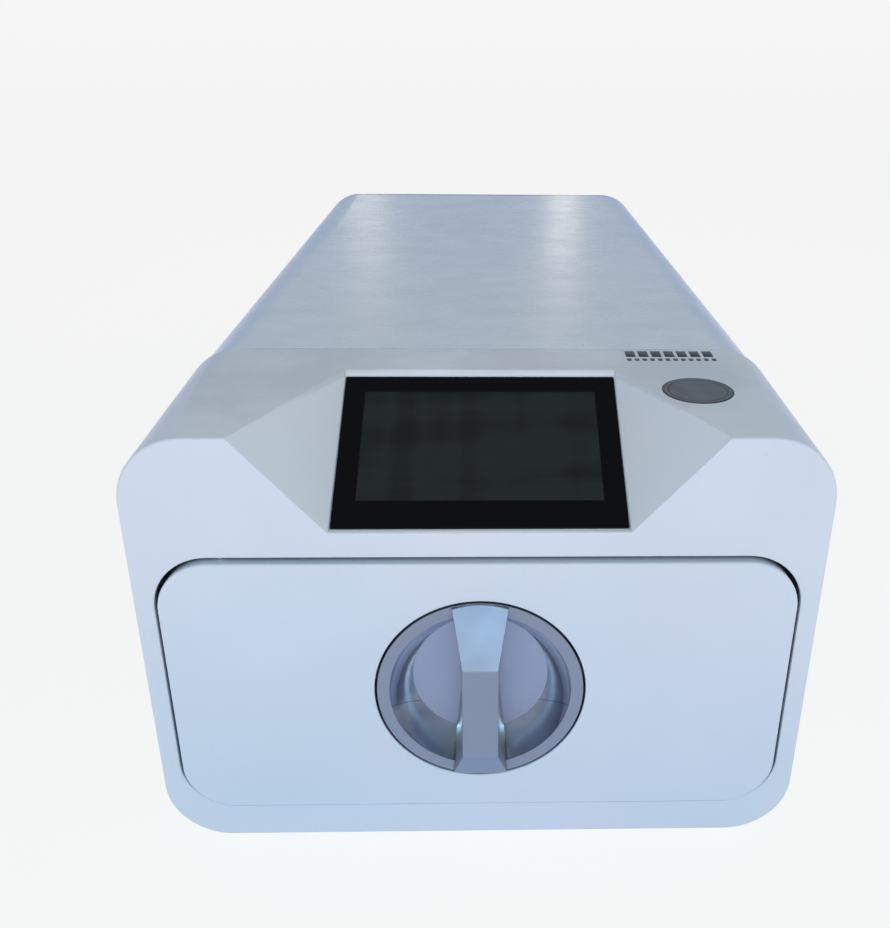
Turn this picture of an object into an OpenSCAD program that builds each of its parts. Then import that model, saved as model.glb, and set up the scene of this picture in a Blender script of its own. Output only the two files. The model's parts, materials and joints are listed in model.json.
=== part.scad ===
// Benchtop steam autoclave with a round chamber, a side-hinged door and
// a rotary door handle.  The body stands on the plane z = 0; x is the width,
// the front faces -y, and the origin is the middle of the footprint.

/* [Body] */
// Width of the front moulding
body_w = 430; // [420:1:450]
// Depth from the front's lower edge to the rear edge of the cover
body_len = 800; // [760:1:860]
// Height of the front face, measured along its slope
face_h = 299.5; // [298:0.5:304]
// Corner radius of the front face
face_r = 42.8; // [38:0.2:46]
// Angle that the front face and the chamber lean back
tilt = 3; // [2:0.5:3]
// Depth at which the moulding meets the cover
seam_y = 156; // [140:1:160]
// Height of the moulding at the seam
seam_h = 304.6; // [302:0.2:306]
// Width of the moulding at the seam
seam_w = 429.3; // [428:0.1:430]
// Width of the painted cover
cover_w = 428.1; // [426:0.1:429]
// Height of the painted cover
cover_h = 305.5; // [305:0.5:310]
// Radius of the cover's upper corners
cover_r = 48.4; // [44:0.2:52]
// Height of the feet
foot_h = 16; // [12:1:20]

/* [Door] */
// Width of the door opening
opening_w = 405; // [402:1:407]
// Height of the lower edge of the opening
opening_low = 25.9; // [25:0.1:28]
// Height of the upper edge of the opening
opening_high = 220.9; // [219:0.1:222]
// Gap around the door
door_gap = 2.9; // [2.8:0.1:3.4]
// How far the door stands out of the front face
door_proud = 3.4; // [3:0.1:4]
// Opening travel of the locking bars
bar_travel = 14; // [12:0.5:15]

/* [Knob] */
// Height of the knob and chamber centre along the face
knob_u = 122.9; // [122:0.1:124]
// Outer radius of the knob ring
knob_r = 67; // [66:0.1:68]
// Inner radius of the knob ring
ring_r = 58.8; // [58:0.1:60]
// Gap between the knob ring and the door around it
knob_gap = 1.6; // [0.6:0.1:2]
// Depth of the bowl below the ring
bowl_depth = 19.7; // [18:0.1:20]
// Height of the grip's flat front above the body's front face
grip_n = 26.8; // [25:0.1:30]
// Half length of the grip's flat front
grip_half = 33.3; // [32:0.1:35]

/* [Display] */
// Angle of the glass from the horizontal
glass_tilt = 30.8; // [30:0.1:32]
// Depth of the glass's lower edge
glass_y = 16.3; // [16:0.1:17]
// Height of the glass's lower edge
glass_z = 238.3; // [238:0.1:239]
// Width of the glass
glass_w = 182.8; // [180:0.1:184]
// Height of the glass
glass_h = 117.2; // [116:0.1:118]

/* [Chamber] */
// Inner radius of the chamber
chamber_r = 85; // [80:1:85]
// Inner depth of the chamber behind the flange
chamber_len = 338; // [320:1:340]

/* [Hidden] */

arc = 96;
fine = 48;
tiny = 0.02;
wall = 3;
front_wall = 2.8;
edge_round = 1.6;
sheet = 1.2;
rear_reach = 36;

// The grip's flat front is the foremost point of the whole unit
grip_front_y = (knob_u - grip_half) * sin(tilt) - grip_n * cos(tilt);
y_origin = -(body_len + rear_reach + grip_front_y) / 2;

door_w = opening_w - 2 * door_gap;
door_low = opening_low + door_gap;
door_h = opening_high - opening_low - 2 * door_gap;
opening_r = 36;
door_r = opening_r - door_gap;
door_depth = 14;
hinge_in = 40;
hinge_x = -door_w / 2 + hinge_in;
hinge_y = 5;
hinge_pin_r = 2;
hinge_fit = 0.05;

plate_y = 20.5;
plate_t = 4;
cam_y = plate_y + plate_t + 0.5;
cam_t = 4;
cam_r = 46;
bar_y = cam_y + cam_t + 0.5;
bar_t = 6;
bar_half = 10;
bar_in = 16;
bar_out = 109;
pin_r = 3.9;
pin_from = 22;
slot_half = 4.7;
disc_y = bar_y + bar_t + 1;
disc_t = 4.5;
disc_r = 96;
flange_y = 42;
flange_t = 12;
flange_r = 106;
bulkhead_y = flange_y + flange_t;
bulkhead_t = 2.5;
vessel_t = 2.5;
vessel_r = chamber_r + vessel_t;
shaft_r = 7.95;
bush_r = 8;
bush_out = 11;
post_at = 70;
post_r = 5;
lock_x = 117;
keeper_in = 111;
keeper_root = 126;
keeper_out = 132;

pan_z = 3.3;
pan_t = 1.5;
pan_top = pan_z + pan_t;
pan_half = 176;
rear_y = body_len - 3.5;
rear_t = 1.5;
foot_x = 150;
foot_front = 50;
foot_rear = 740;
bezel_screw_x = 110;
bezel_screw_y = [40, 120];
tank_z = 175;
fan_x = 110;
fan_z = 110;
fan_size = 92;
fan_t = 25;

inlet_x = 150;
inlet_z = 30;
inlet_w = 27;
switch_x = 72;
switch_w = 21;
socket_h = 19.6;
valve_at = [-150, rear_y, 215];
valve_r = 9;
drain_x = [-165, -125];
drain_z = 42;
drain_r = 6;

white = [0.87, 0.91, 0.95];
steel = [0.75, 0.76, 0.78];
satin = [0.6, 0.63, 0.7];
dark = [0.08, 0.08, 0.1];
brass = [0.78, 0.62, 0.3];

// ---- frames ----

// Body frame: y from the front's lower edge, z from the underside of the body
module body_frame() {
  translate([0, y_origin, foot_h]) children();
}

// Face frame: y goes into the body at right angles to the front face, z up along it
module face_frame() {
  body_frame() rotate([-tilt, 0, 0]) children();
}

// Chamber frame: the face frame centred on the knob and chamber axis
module axis_frame() {
  face_frame() translate([0, 0, knob_u]) children();
}

// Display frame: x across, y up along the glass, z out of the glass
module display_frame() {
  body_frame() translate([0, glass_y, glass_z]) rotate([glass_tilt, 0, 0]) children();
}

// Extrudes an outline drawn as (x, z) from y = 0 to y = depth
module along_y(depth) {
  rotate([90, 0, 0]) translate([0, 0, -depth]) linear_extrude(depth) children();
}

// A cylinder along +y from y = 0
module rod_y(r, depth) {
  rotate([-90, 0, 0]) cylinder(r = r, h = depth, $fn = arc);
}

// Revolves (radius, y) outlines about the y axis
module revolve_y() {
  rotate([-90, 0, 0]) rotate_extrude($fn = arc) children();
}

// A rounded rectangle centred in x that stands on y = 0
module rounded_rect(w, h, r, low_r = -1) {
  lr = low_r < 0 ? r : low_r;
  translate([-w / 2 + max(r, lr), 0]) square([w - 2 * max(r, lr), h]);
  translate([-w / 2, lr]) square([w, h - r - lr]);
  for (side = [-1, 1]) {
    translate([side * (w / 2 - r), h - r]) circle(r, $fn = arc);
    translate([side * (w / 2 - lr), lr]) circle(lr, $fn = arc);
  }
}

module tube_y(outer, inner, depth) {
  difference() {
    rod_y(outer, depth);
    translate([0, -1, 0]) rod_y(inner, depth + 2);
  }
}

module screw_y(r, depth, head_r, head_t) {
  rod_y(head_r, head_t);
  rod_y(r, depth);
}

// A pipe of round section through a list of points
module pipe(points, r) {
  for (i = [0 : len(points) - 2]) {
    step = points[i + 1] - points[i];
    turn = atan2(step.y, step.x);
    lean = acos(step.z / norm(step));
    translate(points[i]) rotate([0, lean, turn]) cylinder(r = r, h = norm(step), $fn = fine);
    translate(points[i]) sphere(r, $fn = fine);
  }
  translate(points[len(points) - 1]) sphere(r, $fn = fine);
}

module hull_points(points) {
  hull() for (p = points) translate(p) cube(tiny, center = true);
}

// ---- front moulding ----

// One thin slice of the front face's outline, inset and set back from the face
module face_slice(inset, depth) {
  level = inset + depth * tan(tilt);
  rotate([-tilt, 0, 0]) translate([0, depth, level]) along_y(tiny)
    rounded_rect(body_w - 2 * inset, face_h - 2 * inset, face_r - inset);
}

module bezel_outside() {
  hull() {
    face_slice(edge_round, 0);
    face_slice(edge_round * (1 - cos(45)), edge_round * (1 - sin(45)));
    face_slice(0, edge_round);
    translate([0, seam_y - tiny, 0]) along_y(tiny) rounded_rect(seam_w, seam_h, face_r);
  }
}

module bezel_inside() {
  hull() {
    face_slice(wall, front_wall);
    translate([0, seam_y, wall]) along_y(tiny)
      rounded_rect(seam_w - 2 * wall, seam_h - 2 * wall, face_r - wall);
  }
}

// The display recess: a sloping floor between two triangular facets
tray_half = glass_w / 2 + 0.6;
tip_x = 147.6;
floor_front = [0, 12.4, 237];
floor_back = [0, glass_y + (glass_h + 0.9) * cos(glass_tilt), 302.6];
tip = [tip_x, face_h * sin(tilt), face_h * cos(tilt)];
floor_run = floor_back - floor_front;
floor_mid = (floor_back + floor_front) / 2;

module recess_cut() {
  tip_run = tip - [tray_half, floor_mid.y, floor_mid.z];
  far_tip = tip + tip_run * 0.3;
  low = floor_front - floor_run * 0.2;
  high = floor_back + floor_run * 0.05;
  hull_points([for (side = [-1, 1], p = [
    [tray_half, low.y, low.z], [tray_half, high.y, high.z], far_tip, [tip_x, 60, 420]
  ]) [side * p.x, p.y, p.z]]);
}

// The moulding ends in a lip that the cover slides over
module front_bezel() {
  lip_depth = 10;
  pocket_t = 2;
  window_w = 168;
  window_low = 12;
  window_h = 98;
  color(white) body_frame() difference() {
    union() {
      difference() {
        bezel_outside();
        bezel_inside();
      }
      difference() {
        translate([0, seam_y, 0]) along_y(lip_depth) difference() {
          cover_outline(sheet + 0.3);
          cover_outline(sheet + 2.8);
        }
        translate([-body_w, 0, -1]) cube([2 * body_w, body_len, 31]);
      }
      intersection() {
        bezel_outside();
        union() {
          translate([0, 1.6, -2.4]) recess_cut();
          translate([0, glass_y, glass_z]) rotate([glass_tilt, 0, 0])
            translate([-tray_half - 2.5, -3, -pocket_t - 2])
              cube([2 * tray_half + 5, glass_h + 6, 20]);
        }
      }
    }
    recess_cut();
    translate([0, glass_y, glass_z]) rotate([glass_tilt, 0, 0]) {
      translate([-tray_half, -0.6, -pocket_t]) cube([2 * tray_half, glass_h + 1.5, 30]);
      translate([-window_w / 2, window_low, -20]) cube([window_w, window_h, 30]);
    }
    rotate([-tilt, 0, 0]) translate([0, -1, opening_low]) along_y(front_wall + 2)
      rounded_rect(opening_w, opening_high - opening_low, opening_r);
    for (side = [-1, 1]) translate([side * foot_x, foot_front, -1])
      cylinder(r = 2.8, h = 6, $fn = fine);
    for (side = [-1, 1], y = bezel_screw_y) translate([side * bezel_screw_x, y, -1])
      cylinder(r = 2.2, h = 6, $fn = fine);
  }
}

// ---- cover, base and rear ----

module cover_outline(inset) {
  translate([0, inset]) rounded_rect(cover_w - 2 * inset, cover_h - 2 * inset,
    cover_r - inset, face_r - inset);
}

module outer_cover() {
  lip_half = 168;
  color(white) body_frame() difference() {
    translate([0, seam_y + 0.4, 0]) along_y(body_len - seam_y - 0.4) difference() {
      cover_outline(0);
      cover_outline(sheet);
      translate([-lip_half, -1]) square([2 * lip_half, 3]);
    }
    for (side = [-1, 1], z = [90, 230]) translate([side * cover_w / 2, body_len - 14, z])
      rotate([0, 90, 0]) cylinder(r = 2.2, h = 8, center = true, $fn = fine);
  }
}

// Screws in the cover's sides at the rear and under the front moulding
module cover_screws() {
  head_r = 4;
  color(steel) body_frame() {
    for (side = [-1, 1], z = [90, 230])
      translate([side * cover_w / 2, body_len - 14, z]) rotate([0, side * 90, 0]) {
        translate([0, 0, -8]) cylinder(r = 2, h = 8, $fn = fine);
        cylinder(r1 = head_r, r2 = head_r - 0.9, h = 0.9, $fn = fine);
      }
    for (side = [-1, 1], y = bezel_screw_y) translate([side * bezel_screw_x, y, -2.1]) {
      cylinder(r = head_r, h = 2, $fn = fine);
      cylinder(r = 2, h = 9, $fn = fine);
    }
  }
}

module base_pan() {
  side_h = 24;
  front_y = 8;
  back_y = rear_y - 0.5;
  vent_y = 640;
  vent_w = 4;
  vent_len = 60;
  color(steel) body_frame() difference() {
    union() {
      translate([-pan_half, front_y, pan_z]) cube([2 * pan_half, back_y - front_y, pan_t]);
      for (side = [0, 1]) translate([side == 0 ? -pan_half : pan_half - pan_t, seam_y + 4, pan_z])
        cube([pan_t, back_y - seam_y - 4, side_h]);
    }
    for (side = [-1, 1], y = [foot_front, foot_rear]) translate([side * foot_x, y, 0])
      cylinder(r = 2.8, h = 10, $fn = fine);
    for (side = [-1, 1], y = bezel_screw_y) translate([side * bezel_screw_x, y, 0])
      cylinder(r = 2.2, h = 10, $fn = fine);
    for (i = [0 : 9]) translate([-90 + 20 * i, vent_y, 0]) {
      translate([-vent_w / 2, 0, 0]) cube([vent_w, vent_len, 10]);
      for (end = [0, vent_len]) translate([0, end, 0])
        cylinder(r = vent_w / 2, h = 10, $fn = fine);
    }
  }
}

module rear_panel() {
  vent_w = 5;
  vent_h = 42;
  vent_low = 225;
  color(steel) body_frame() difference() {
    translate([0, rear_y, 0]) along_y(rear_t) cover_outline(sheet + 0.5);
    translate([fan_x, rear_y - 1, fan_z]) rod_y(fan_size / 2 - 3, 4);
    translate([inlet_x - inlet_w / 2 - 0.1, rear_y - 1, inlet_z]) cube([inlet_w + 0.2, 4, socket_h]);
    translate([switch_x - switch_w / 2 - 0.1, rear_y - 1, inlet_z])
      cube([switch_w + 0.2, 4, socket_h]);
    for (x = drain_x) translate([x, rear_y - 1, drain_z]) rod_y(drain_r + 0.2, 4);
    translate([valve_at.x, rear_y - 1, valve_at.z]) rod_y(valve_r + 0.2, 4);
    for (i = [0 : 11]) translate([-110 + 20 * i, rear_y - 1, vent_low]) {
      translate([-vent_w / 2, 0, 0]) cube([vent_w, 4, vent_h]);
      for (end = [0, vent_h]) translate([0, 0, end]) rod_y(vent_w / 2, 4);
    }
  }
}

module rubber_feet() {
  top_r = 15;
  low_r = 12.5;
  color(dark) body_frame() for (side = [-1, 1], y = [foot_front, foot_rear])
    translate([side * foot_x, y, -foot_h]) difference() {
      union() {
        cylinder(r1 = low_r, r2 = top_r, h = foot_h - 0.1, $fn = fine);
        if (y == foot_rear) cylinder(r = 9, h = foot_h + pan_z, $fn = fine);
      }
      translate([0, 0, -1]) cylinder(r = 7, h = 8, $fn = fine);
      cylinder(r = 2.8, h = foot_h + 10, $fn = fine);
    }
}

module foot_screws() {
  color(steel) body_frame() for (side = [-1, 1], y = [foot_front, foot_rear])
    translate([side * foot_x, y, -foot_h + 3.5]) {
      cylinder(r = 5, h = 3.5, $fn = fine);
      cylinder(r = 2.5, h = foot_h + 5, $fn = fine);
    }
}

// ---- display ----

module touch_glass() {
  glass_t = 1.8;
  color(dark) display_frame() translate([0, 0, -glass_t - 0.15])
    linear_extrude(glass_t) rounded_rect(glass_w, glass_h, 1.5);
}

// A standard 7 inch panel
module lcd_panel() {
  panel = [165, 94, 6];
  color(satin) display_frame() translate([-panel.x / 2, 14, -8.2]) cube(panel);
}

module display_bracket() {
  color(steel) display_frame() translate([0, 0, -12.4]) difference() {
    translate([-90, 6, 0]) cube([180, 108, 1.4]);
    translate([-60, 26, -1]) cube([120, 68, 4]);
  }
}

module display_board() {
  color("darkgreen") display_frame() {
    translate([-75, 20, -20]) cube([150, 82, 1.6]);
    for (x = [-68, 60]) translate([x, 30, -18.4]) cube([8, 60, 6]);
    translate([-30, 40, -26]) cube([40, 30, 6]);
    translate([25, 34, -24]) cube([18, 12, 4]);
  }
}

// ---- bulkhead, hinge and lock keepers ----

module front_bulkhead() {
  bulkhead_w = body_w - 20;
  low = 9;
  high = 232;
  color(steel) face_frame() difference() {
    translate([0, bulkhead_y, low]) along_y(bulkhead_t)
      rounded_rect(bulkhead_w, high - low, 8, 34);
    translate([0, bulkhead_y - 1, knob_u]) rod_y(vessel_r + 0.5, bulkhead_t + 2);
  }
}

// Two arms that reach forward from the bulkhead, above and below the door opening
hinge_arm_t = 5;
hinge_top_z = opening_high + 0.5;
hinge_low_z = opening_low - 0.5 - hinge_arm_t;

module hinge_brackets() {
  arm_half = 6;
  arm_y = hinge_y - hinge_pin_r + 0.1;
  color(steel) face_frame() for (z = [hinge_top_z, hinge_low_z]) difference() {
    union() {
      translate([hinge_x - arm_half, arm_y, z])
        cube([2 * arm_half, bulkhead_y - arm_y, hinge_arm_t]);
      translate([hinge_x - 2 * arm_half, bulkhead_y - 3, z])
        cube([4 * arm_half, 3, hinge_arm_t]);
    }
    translate([hinge_x, hinge_y, z - 1])
      cylinder(r = hinge_pin_r, h = hinge_arm_t + 2, $fn = fine);
  }
}

module hinge_pins() {
  reach = 24;
  color(steel) face_frame() {
    translate([hinge_x, hinge_y, hinge_top_z - reach + hinge_arm_t])
      cylinder(r = hinge_pin_r, h = reach, $fn = fine);
    translate([hinge_x, hinge_y, hinge_low_z]) cylinder(r = hinge_pin_r, h = reach, $fn = fine);
  }
}

module bar_keepers() {
  lip_t = bar_y - 0.6 - cam_y;
  half = 20;
  color(steel) axis_frame() for (side = [0, 1]) mirror([side, 0, 0]) {
    translate([keeper_root, cam_y, -half])
      cube([keeper_out - keeper_root, bulkhead_y - cam_y, 2 * half]);
    translate([keeper_in, cam_y, -half]) cube([keeper_root - keeper_in, lip_t, 2 * half]);
  }
}

module lock_solenoid() {
  low = 24;
  color("royalblue") axis_frame() difference() {
    translate([lock_x - 9.5, 26, low]) cube([19, bulkhead_y - 26, 34]);
    translate([lock_x, bar_y + bar_t / 2, low - 1]) cylinder(r = 3.3, h = 34, $fn = fine);
  }
}

module lock_pin() {
  color(steel) axis_frame() translate([lock_x, bar_y + bar_t / 2, bar_half + 2])
    cylinder(r = 3, h = 32, $fn = fine);
}

module air_filter() {
  color("white") face_frame() translate([165, 30, 52]) {
    rod_y(19, 18);
    translate([0, 18, 0]) rod_y(9, bulkhead_y - 48);
    for (i = [0 : 11]) rotate([0, 30 * i, 0]) translate([18, 2, -1.5]) cube([2.5, 14, 3]);
  }
}

// ---- chamber ----

bolt_at = 101.2;
bolt_r = 1.8;
bolt_head_r = 3.2;
bolt_head_t = 3;

module chamber_flange() {
  color(steel) axis_frame() difference() {
    translate([0, flange_y, 0]) tube_y(flange_r, chamber_r, flange_t);
    for (i = [0 : 7]) rotate([0, 22.5 + 45 * i, 0]) translate([bolt_at, flange_y - 1, 0]) {
      rod_y(bolt_r, flange_t + 2);
      rod_y(bolt_head_r, bolt_head_t + 1);
    }
  }
}

module flange_bolts() {
  color("dimgray") axis_frame() for (i = [0 : 7]) rotate([0, 22.5 + 45 * i, 0])
    translate([bolt_at, flange_y, 0]) difference() {
      union() {
        translate([0, 0.3, 0]) rod_y(bolt_head_r, bolt_head_t - 0.3);
        rod_y(bolt_r, flange_t);
      }
      translate([0, -1, 0]) rotate([-90, 0, 0]) cylinder(r = 1.6, h = bolt_head_t, $fn = 6);
    }
}

module chamber_vessel() {
  end_y = bulkhead_y + chamber_len;
  dish = 14;
  color(steel) axis_frame() {
    translate([0, bulkhead_y, 0]) tube_y(vessel_r, chamber_r, chamber_len);
    translate([0, end_y, 0]) revolve_y() polygon([
      [0, dish - vessel_t], [chamber_r * 0.72, dish - vessel_t - 4], [chamber_r, 0],
      [vessel_r, 0], [chamber_r * 0.76, dish - 3], [0, dish]
    ]);
  }
}

heater_y = 150;
heater_len = 150;

module band_heater() {
  color(brass) axis_frame() translate([0, heater_y, 0]) {
    tube_y(vessel_r + 1.8, vessel_r, heater_len);
    for (y = [20, heater_len - 32]) translate([vessel_r + 1, y, -6]) cube([6, 12, 12]);
  }
}

module insulation_jacket() {
  inner = vessel_r + 2;
  thickness = 6;
  color("khaki") axis_frame() difference() {
    translate([0, bulkhead_y + bulkhead_t + 1, 0]) tube_y(inner + thickness, inner, 300);
    for (y = [20, heater_len - 32]) translate([vessel_r, heater_y + y - 1, -7])
      cube([12, 14, 14]);
  }
}

module chamber_saddle() {
  y = 376;
  color(steel) difference() {
    body_frame() translate([-60, y, pan_top]) cube([120, 20, 44]);
    axis_frame() translate([0, y - 40, 0]) rod_y(vessel_r, 100);
  }
}

rack_half = 62;
rack_y = bulkhead_y + 8;
rack_len = 310;
shelf_z = [-40, -10, 20];

module tray_rack() {
  t = 1.2;
  foot_half = 40;
  color(steel) axis_frame() translate([0, rack_y, 0]) {
    for (side = [0, 1]) mirror([side, 0, 0]) {
      translate([rack_half - t, 0, -45]) cube([t, rack_len, 92]);
      for (z = shelf_z) translate([rack_half - t - 6, 0, z - t]) cube([6, rack_len, t]);
    }
    for (y = [0, rack_len - t]) difference() {
      translate([-rack_half + t, y, -45]) cube([2 * rack_half - 2 * t, t, 92]);
      for (z = shelf_z) translate([-rack_half + 5, y - 1, z - t - 0.1])
        cube([2 * rack_half - 10, t + 2, z == shelf_z[2] ? 28 : 24]);
    }
    for (y = [0, rack_len - t]) translate([-foot_half, y, -73]) cube([2 * foot_half, t, 28]);
  }
}

// A perforated floor with four rim strips set on it, a hair apart at the seams
module tray() {
  t = 1;
  seam = 0.05;
  half = rack_half - 2;
  depth = rack_len - 8;
  rim_h = 15 - seam;
  hole_r = 6;
  hole_pitch = [36, 41];
  difference() {
    translate([-half, 0, 0]) cube([2 * half, depth, t]);
    for (col = [-1 : 1], row = [-3 : 3])
      translate([col * hole_pitch.x, depth / 2 + row * hole_pitch.y, -1])
        cylinder(r = hole_r, h = t + 2, $fn = fine);
  }
  for (x = [-half, half - t]) translate([x, 0, t + seam]) cube([t, depth, rim_h]);
  for (y = [0, depth - t]) translate([-half + t + seam, y, t + seam])
    cube([2 * (half - t - seam), t, rim_h]);
}

module instrument_trays() {
  color(steel) axis_frame() for (z = shelf_z) translate([0, rack_y + 4, z]) tray();
}

// ---- door ----

module door_cover() {
  boss_x = 168;
  boss_z = 60;
  color(white) face_frame() {
    difference() {
      translate([0, -door_proud, door_low]) along_y(door_proud + door_depth)
        rounded_rect(door_w, door_h, door_r);
      translate([0, -door_proud + wall, door_low + wall]) along_y(door_proud + door_depth)
        rounded_rect(door_w - 2 * wall, door_h - 2 * wall, door_r - wall);
      translate([0, -door_proud - 1, knob_u]) rod_y(knob_r + knob_gap, wall + 2);
      translate([hinge_x, hinge_y, 0])
        cylinder(r = hinge_pin_r + 0.8, h = face_h, $fn = fine);
    }
    for (sx = [-1, 1], sz = [-1, 1]) translate([sx * boss_x, wall - door_proud - 0.5,
      knob_u + sz * boss_z]) rod_y(5, plate_y + door_proud - wall + 0.5);
  }
}

module door_plate() {
  plate_w = 356;
  plate_h = door_h - 16;
  color(steel) axis_frame() difference() {
    translate([0, plate_y, door_low + 8 - knob_u]) along_y(plate_t)
      rounded_rect(plate_w, plate_h, 12);
    translate([0, plate_y - 1, 0]) rod_y(bush_out, plate_t + 2);
  }
}

module door_hinge_blocks() {
  block_h = 13;
  low = door_low + wall + 0.5;
  high = door_low + door_h - wall - 0.5 - block_h;
  color(satin) face_frame() for (z = [low, high]) difference() {
    translate([hinge_x - 7, hinge_y - 5, z]) cube([16, plate_y - hinge_y + 5, block_h]);
    translate([hinge_x, hinge_y, z - 1])
      cylinder(r = hinge_pin_r + hinge_fit, h = block_h + 2, $fn = fine);
  }
}

module shaft_bush() {
  color(brass) axis_frame() translate([0, plate_y, 0]) tube_y(bush_out, bush_r, plate_t);
}

module bar_guides() {
  from_x = 52;
  guide_w = 16;
  gap = 0.4;
  color(brass) axis_frame() for (side = [0, 1]) mirror([side, 0, 0]) difference() {
    translate([from_x, plate_y + plate_t, -17])
      cube([guide_w, bar_y + bar_t + 0.8 - plate_y - plate_t, 34]);
    translate([from_x - 1, bar_y - gap, -bar_half - gap])
      cube([guide_w + 2, bar_t + 2 * gap, 2 * bar_half + 2 * gap]);
  }
}

module door_posts() {
  color(steel) axis_frame() for (i = [0 : 3]) rotate([0, 45 + 90 * i, 0])
    translate([post_at, plate_y + plate_t, 0]) rod_y(post_r, disc_y - plate_y - plate_t);
}

gasket_in = 88;
gasket_out = 94;
gasket_seat = 2.4;

module pressure_disc() {
  dome = 8;
  color(steel) axis_frame() translate([0, disc_y, 0]) revolve_y() polygon([
    [0, 0], [disc_r, 0], [disc_r, disc_t], [gasket_out, disc_t],
    [gasket_out, disc_t - gasket_seat], [gasket_in, disc_t - gasket_seat],
    [gasket_in, disc_t], [78, disc_t], [70, disc_t + 5], [40, disc_t + dome],
    [0, disc_t + dome + 1]
  ]);
}

module door_gasket() {
  proud = 0.7;
  color("ivory") axis_frame() translate([0, disc_y + disc_t - gasket_seat, 0])
    tube_y(gasket_out, gasket_in, gasket_seat + proud);
}

// ---- knob ----

knob_face = -door_proud;
floor_r = 44.5;
bowl_t = 1.8;
floor_y = knob_face + bowl_depth;

// The bowl's wall is an arc that flattens from the ring down to the floor
bowl_lip = 0.6;
bowl_steps = 12;
slope_low = 31;
slope_high = 2 * atan2(bowl_depth - bowl_lip, ring_r - floor_r) - slope_low;
bowl_arc_r = (ring_r - floor_r) / (sin(slope_high) - sin(slope_low));

function bowl_wall(gap) = [
  for (i = [0 : bowl_steps]) let (s = slope_high + (slope_low - slope_high) * i / bowl_steps)
    [floor_r + bowl_arc_r * (sin(s) - sin(slope_low)) + gap,
     floor_y - bowl_arc_r * (cos(slope_low) - cos(s))]
];

module knob_bowl() {
  inner = bowl_wall(0);
  outer = bowl_wall(bowl_t);
  color(satin) axis_frame() revolve_y() polygon(concat(
    [[ring_r, knob_face]], inner, [[floor_r, floor_y + bowl_t]],
    [[floor_r + bowl_t, floor_y + bowl_t]],
    [for (i = [bowl_steps : -1 : 2]) outer[i]],
    [[knob_r - 2, 0.4], [knob_r - 2, 6], [knob_r, 6], [knob_r, knob_face]]
  ));
}

module knob_floor() {
  color(satin) axis_frame() translate([0, floor_y, 0]) rod_y(floor_r, bowl_t);
}

module knob_grip() {
  front_half_w = 11.2;
  foot_half_w = 18.3;
  foot_n = 4.7;
  foot_u = 66;
  base_n = door_proud;
  ring_cut = ring_r + 0.05;
  front = [for (sx = [-1, 1], su = [-1, 1]) [sx * front_half_w, -grip_n, su * grip_half]];
  foot = [for (sx = [-1, 1], su = [-1, 1]) [sx * foot_half_w, -foot_n, su * foot_u]];
  base = [for (sx = [-1, 1], su = [-1, 1]) [sx * foot_half_w, -base_n, su * foot_u]];
  root_half_w = 17;
  color(satin) axis_frame() {
    intersection() {
      hull_points(concat(front, foot, base));
      translate([0, -40, 0]) rod_y(knob_r - 0.3, 60);
    }
    intersection() {
      hull_points([for (sx = [-1, 1], su = [-1, 1], p = [
        [foot_half_w - 1.4, -base_n, ring_r], [root_half_w, floor_y, floor_r - 1]
      ]) [sx * p.x, p.y, su * p.z]]);
      revolve_y() polygon(concat(
        [[0, -base_n - 1], [ring_cut, -base_n - 1], [ring_cut, -base_n]],
        bowl_wall(-0.05), [[0, floor_y]]
      ));
    }
  }
}

module knob_shaft() {
  from_y = floor_y + bowl_t;
  color(steel) axis_frame() translate([0, from_y, 0]) {
    rod_y(shaft_r, bar_y - 1 - from_y);
    rod_y(14, plate_y - 0.3 - from_y);
  }
}

// The slot runs outwards by the bar's travel while the disc makes a quarter turn
function slot_r(a) = pin_from + bar_travel * a / 90;
slot_steps = 18;

module cam_slot() {
  polygon(concat(
    [for (i = [0 : slot_steps]) let (a = 90 * i / slot_steps)
      (slot_r(a) - slot_half) * [cos(a), sin(a)]],
    [for (i = [slot_steps : -1 : 0]) let (a = 90 * i / slot_steps)
      (slot_r(a) + slot_half) * [cos(a), sin(a)]]
  ));
  for (a = [0, 90]) translate(slot_r(a) * [cos(a), sin(a)]) circle(slot_half, $fn = fine);
}

module cam_disc() {
  color(satin) axis_frame() translate([0, cam_y, 0]) difference() {
    rod_y(cam_r, cam_t);
    translate([0, -1, 0]) rod_y(shaft_r, cam_t + 2);
    translate([0, -1, 0]) along_y(cam_t + 2) {
      cam_slot();
      rotate(180) cam_slot();
    }
  }
}

// A bar with its cam pin and the notch that the lock pin drops into when locked
module locking_bar() {
  notch_half = 3.6;
  difference() {
    union() {
      translate([bar_in, bar_y, -bar_half]) cube([bar_out - bar_in, bar_t, 2 * bar_half]);
      translate([pin_from, cam_y + 0.5, 0]) rod_y(pin_r, bar_y - cam_y);
    }
    translate([lock_x - bar_travel - notch_half, bar_y - 1, bar_half - 6])
      cube([2 * notch_half, bar_t + 2, 7]);
  }
}

module locking_bar_right() {
  color(steel) axis_frame() locking_bar();
}

module locking_bar_left() {
  color(steel) axis_frame() rotate([0, 180, 0]) locking_bar();
}

// ---- water, steam and vacuum ----

gen_x = -126;
gen_y = 470;

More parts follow.
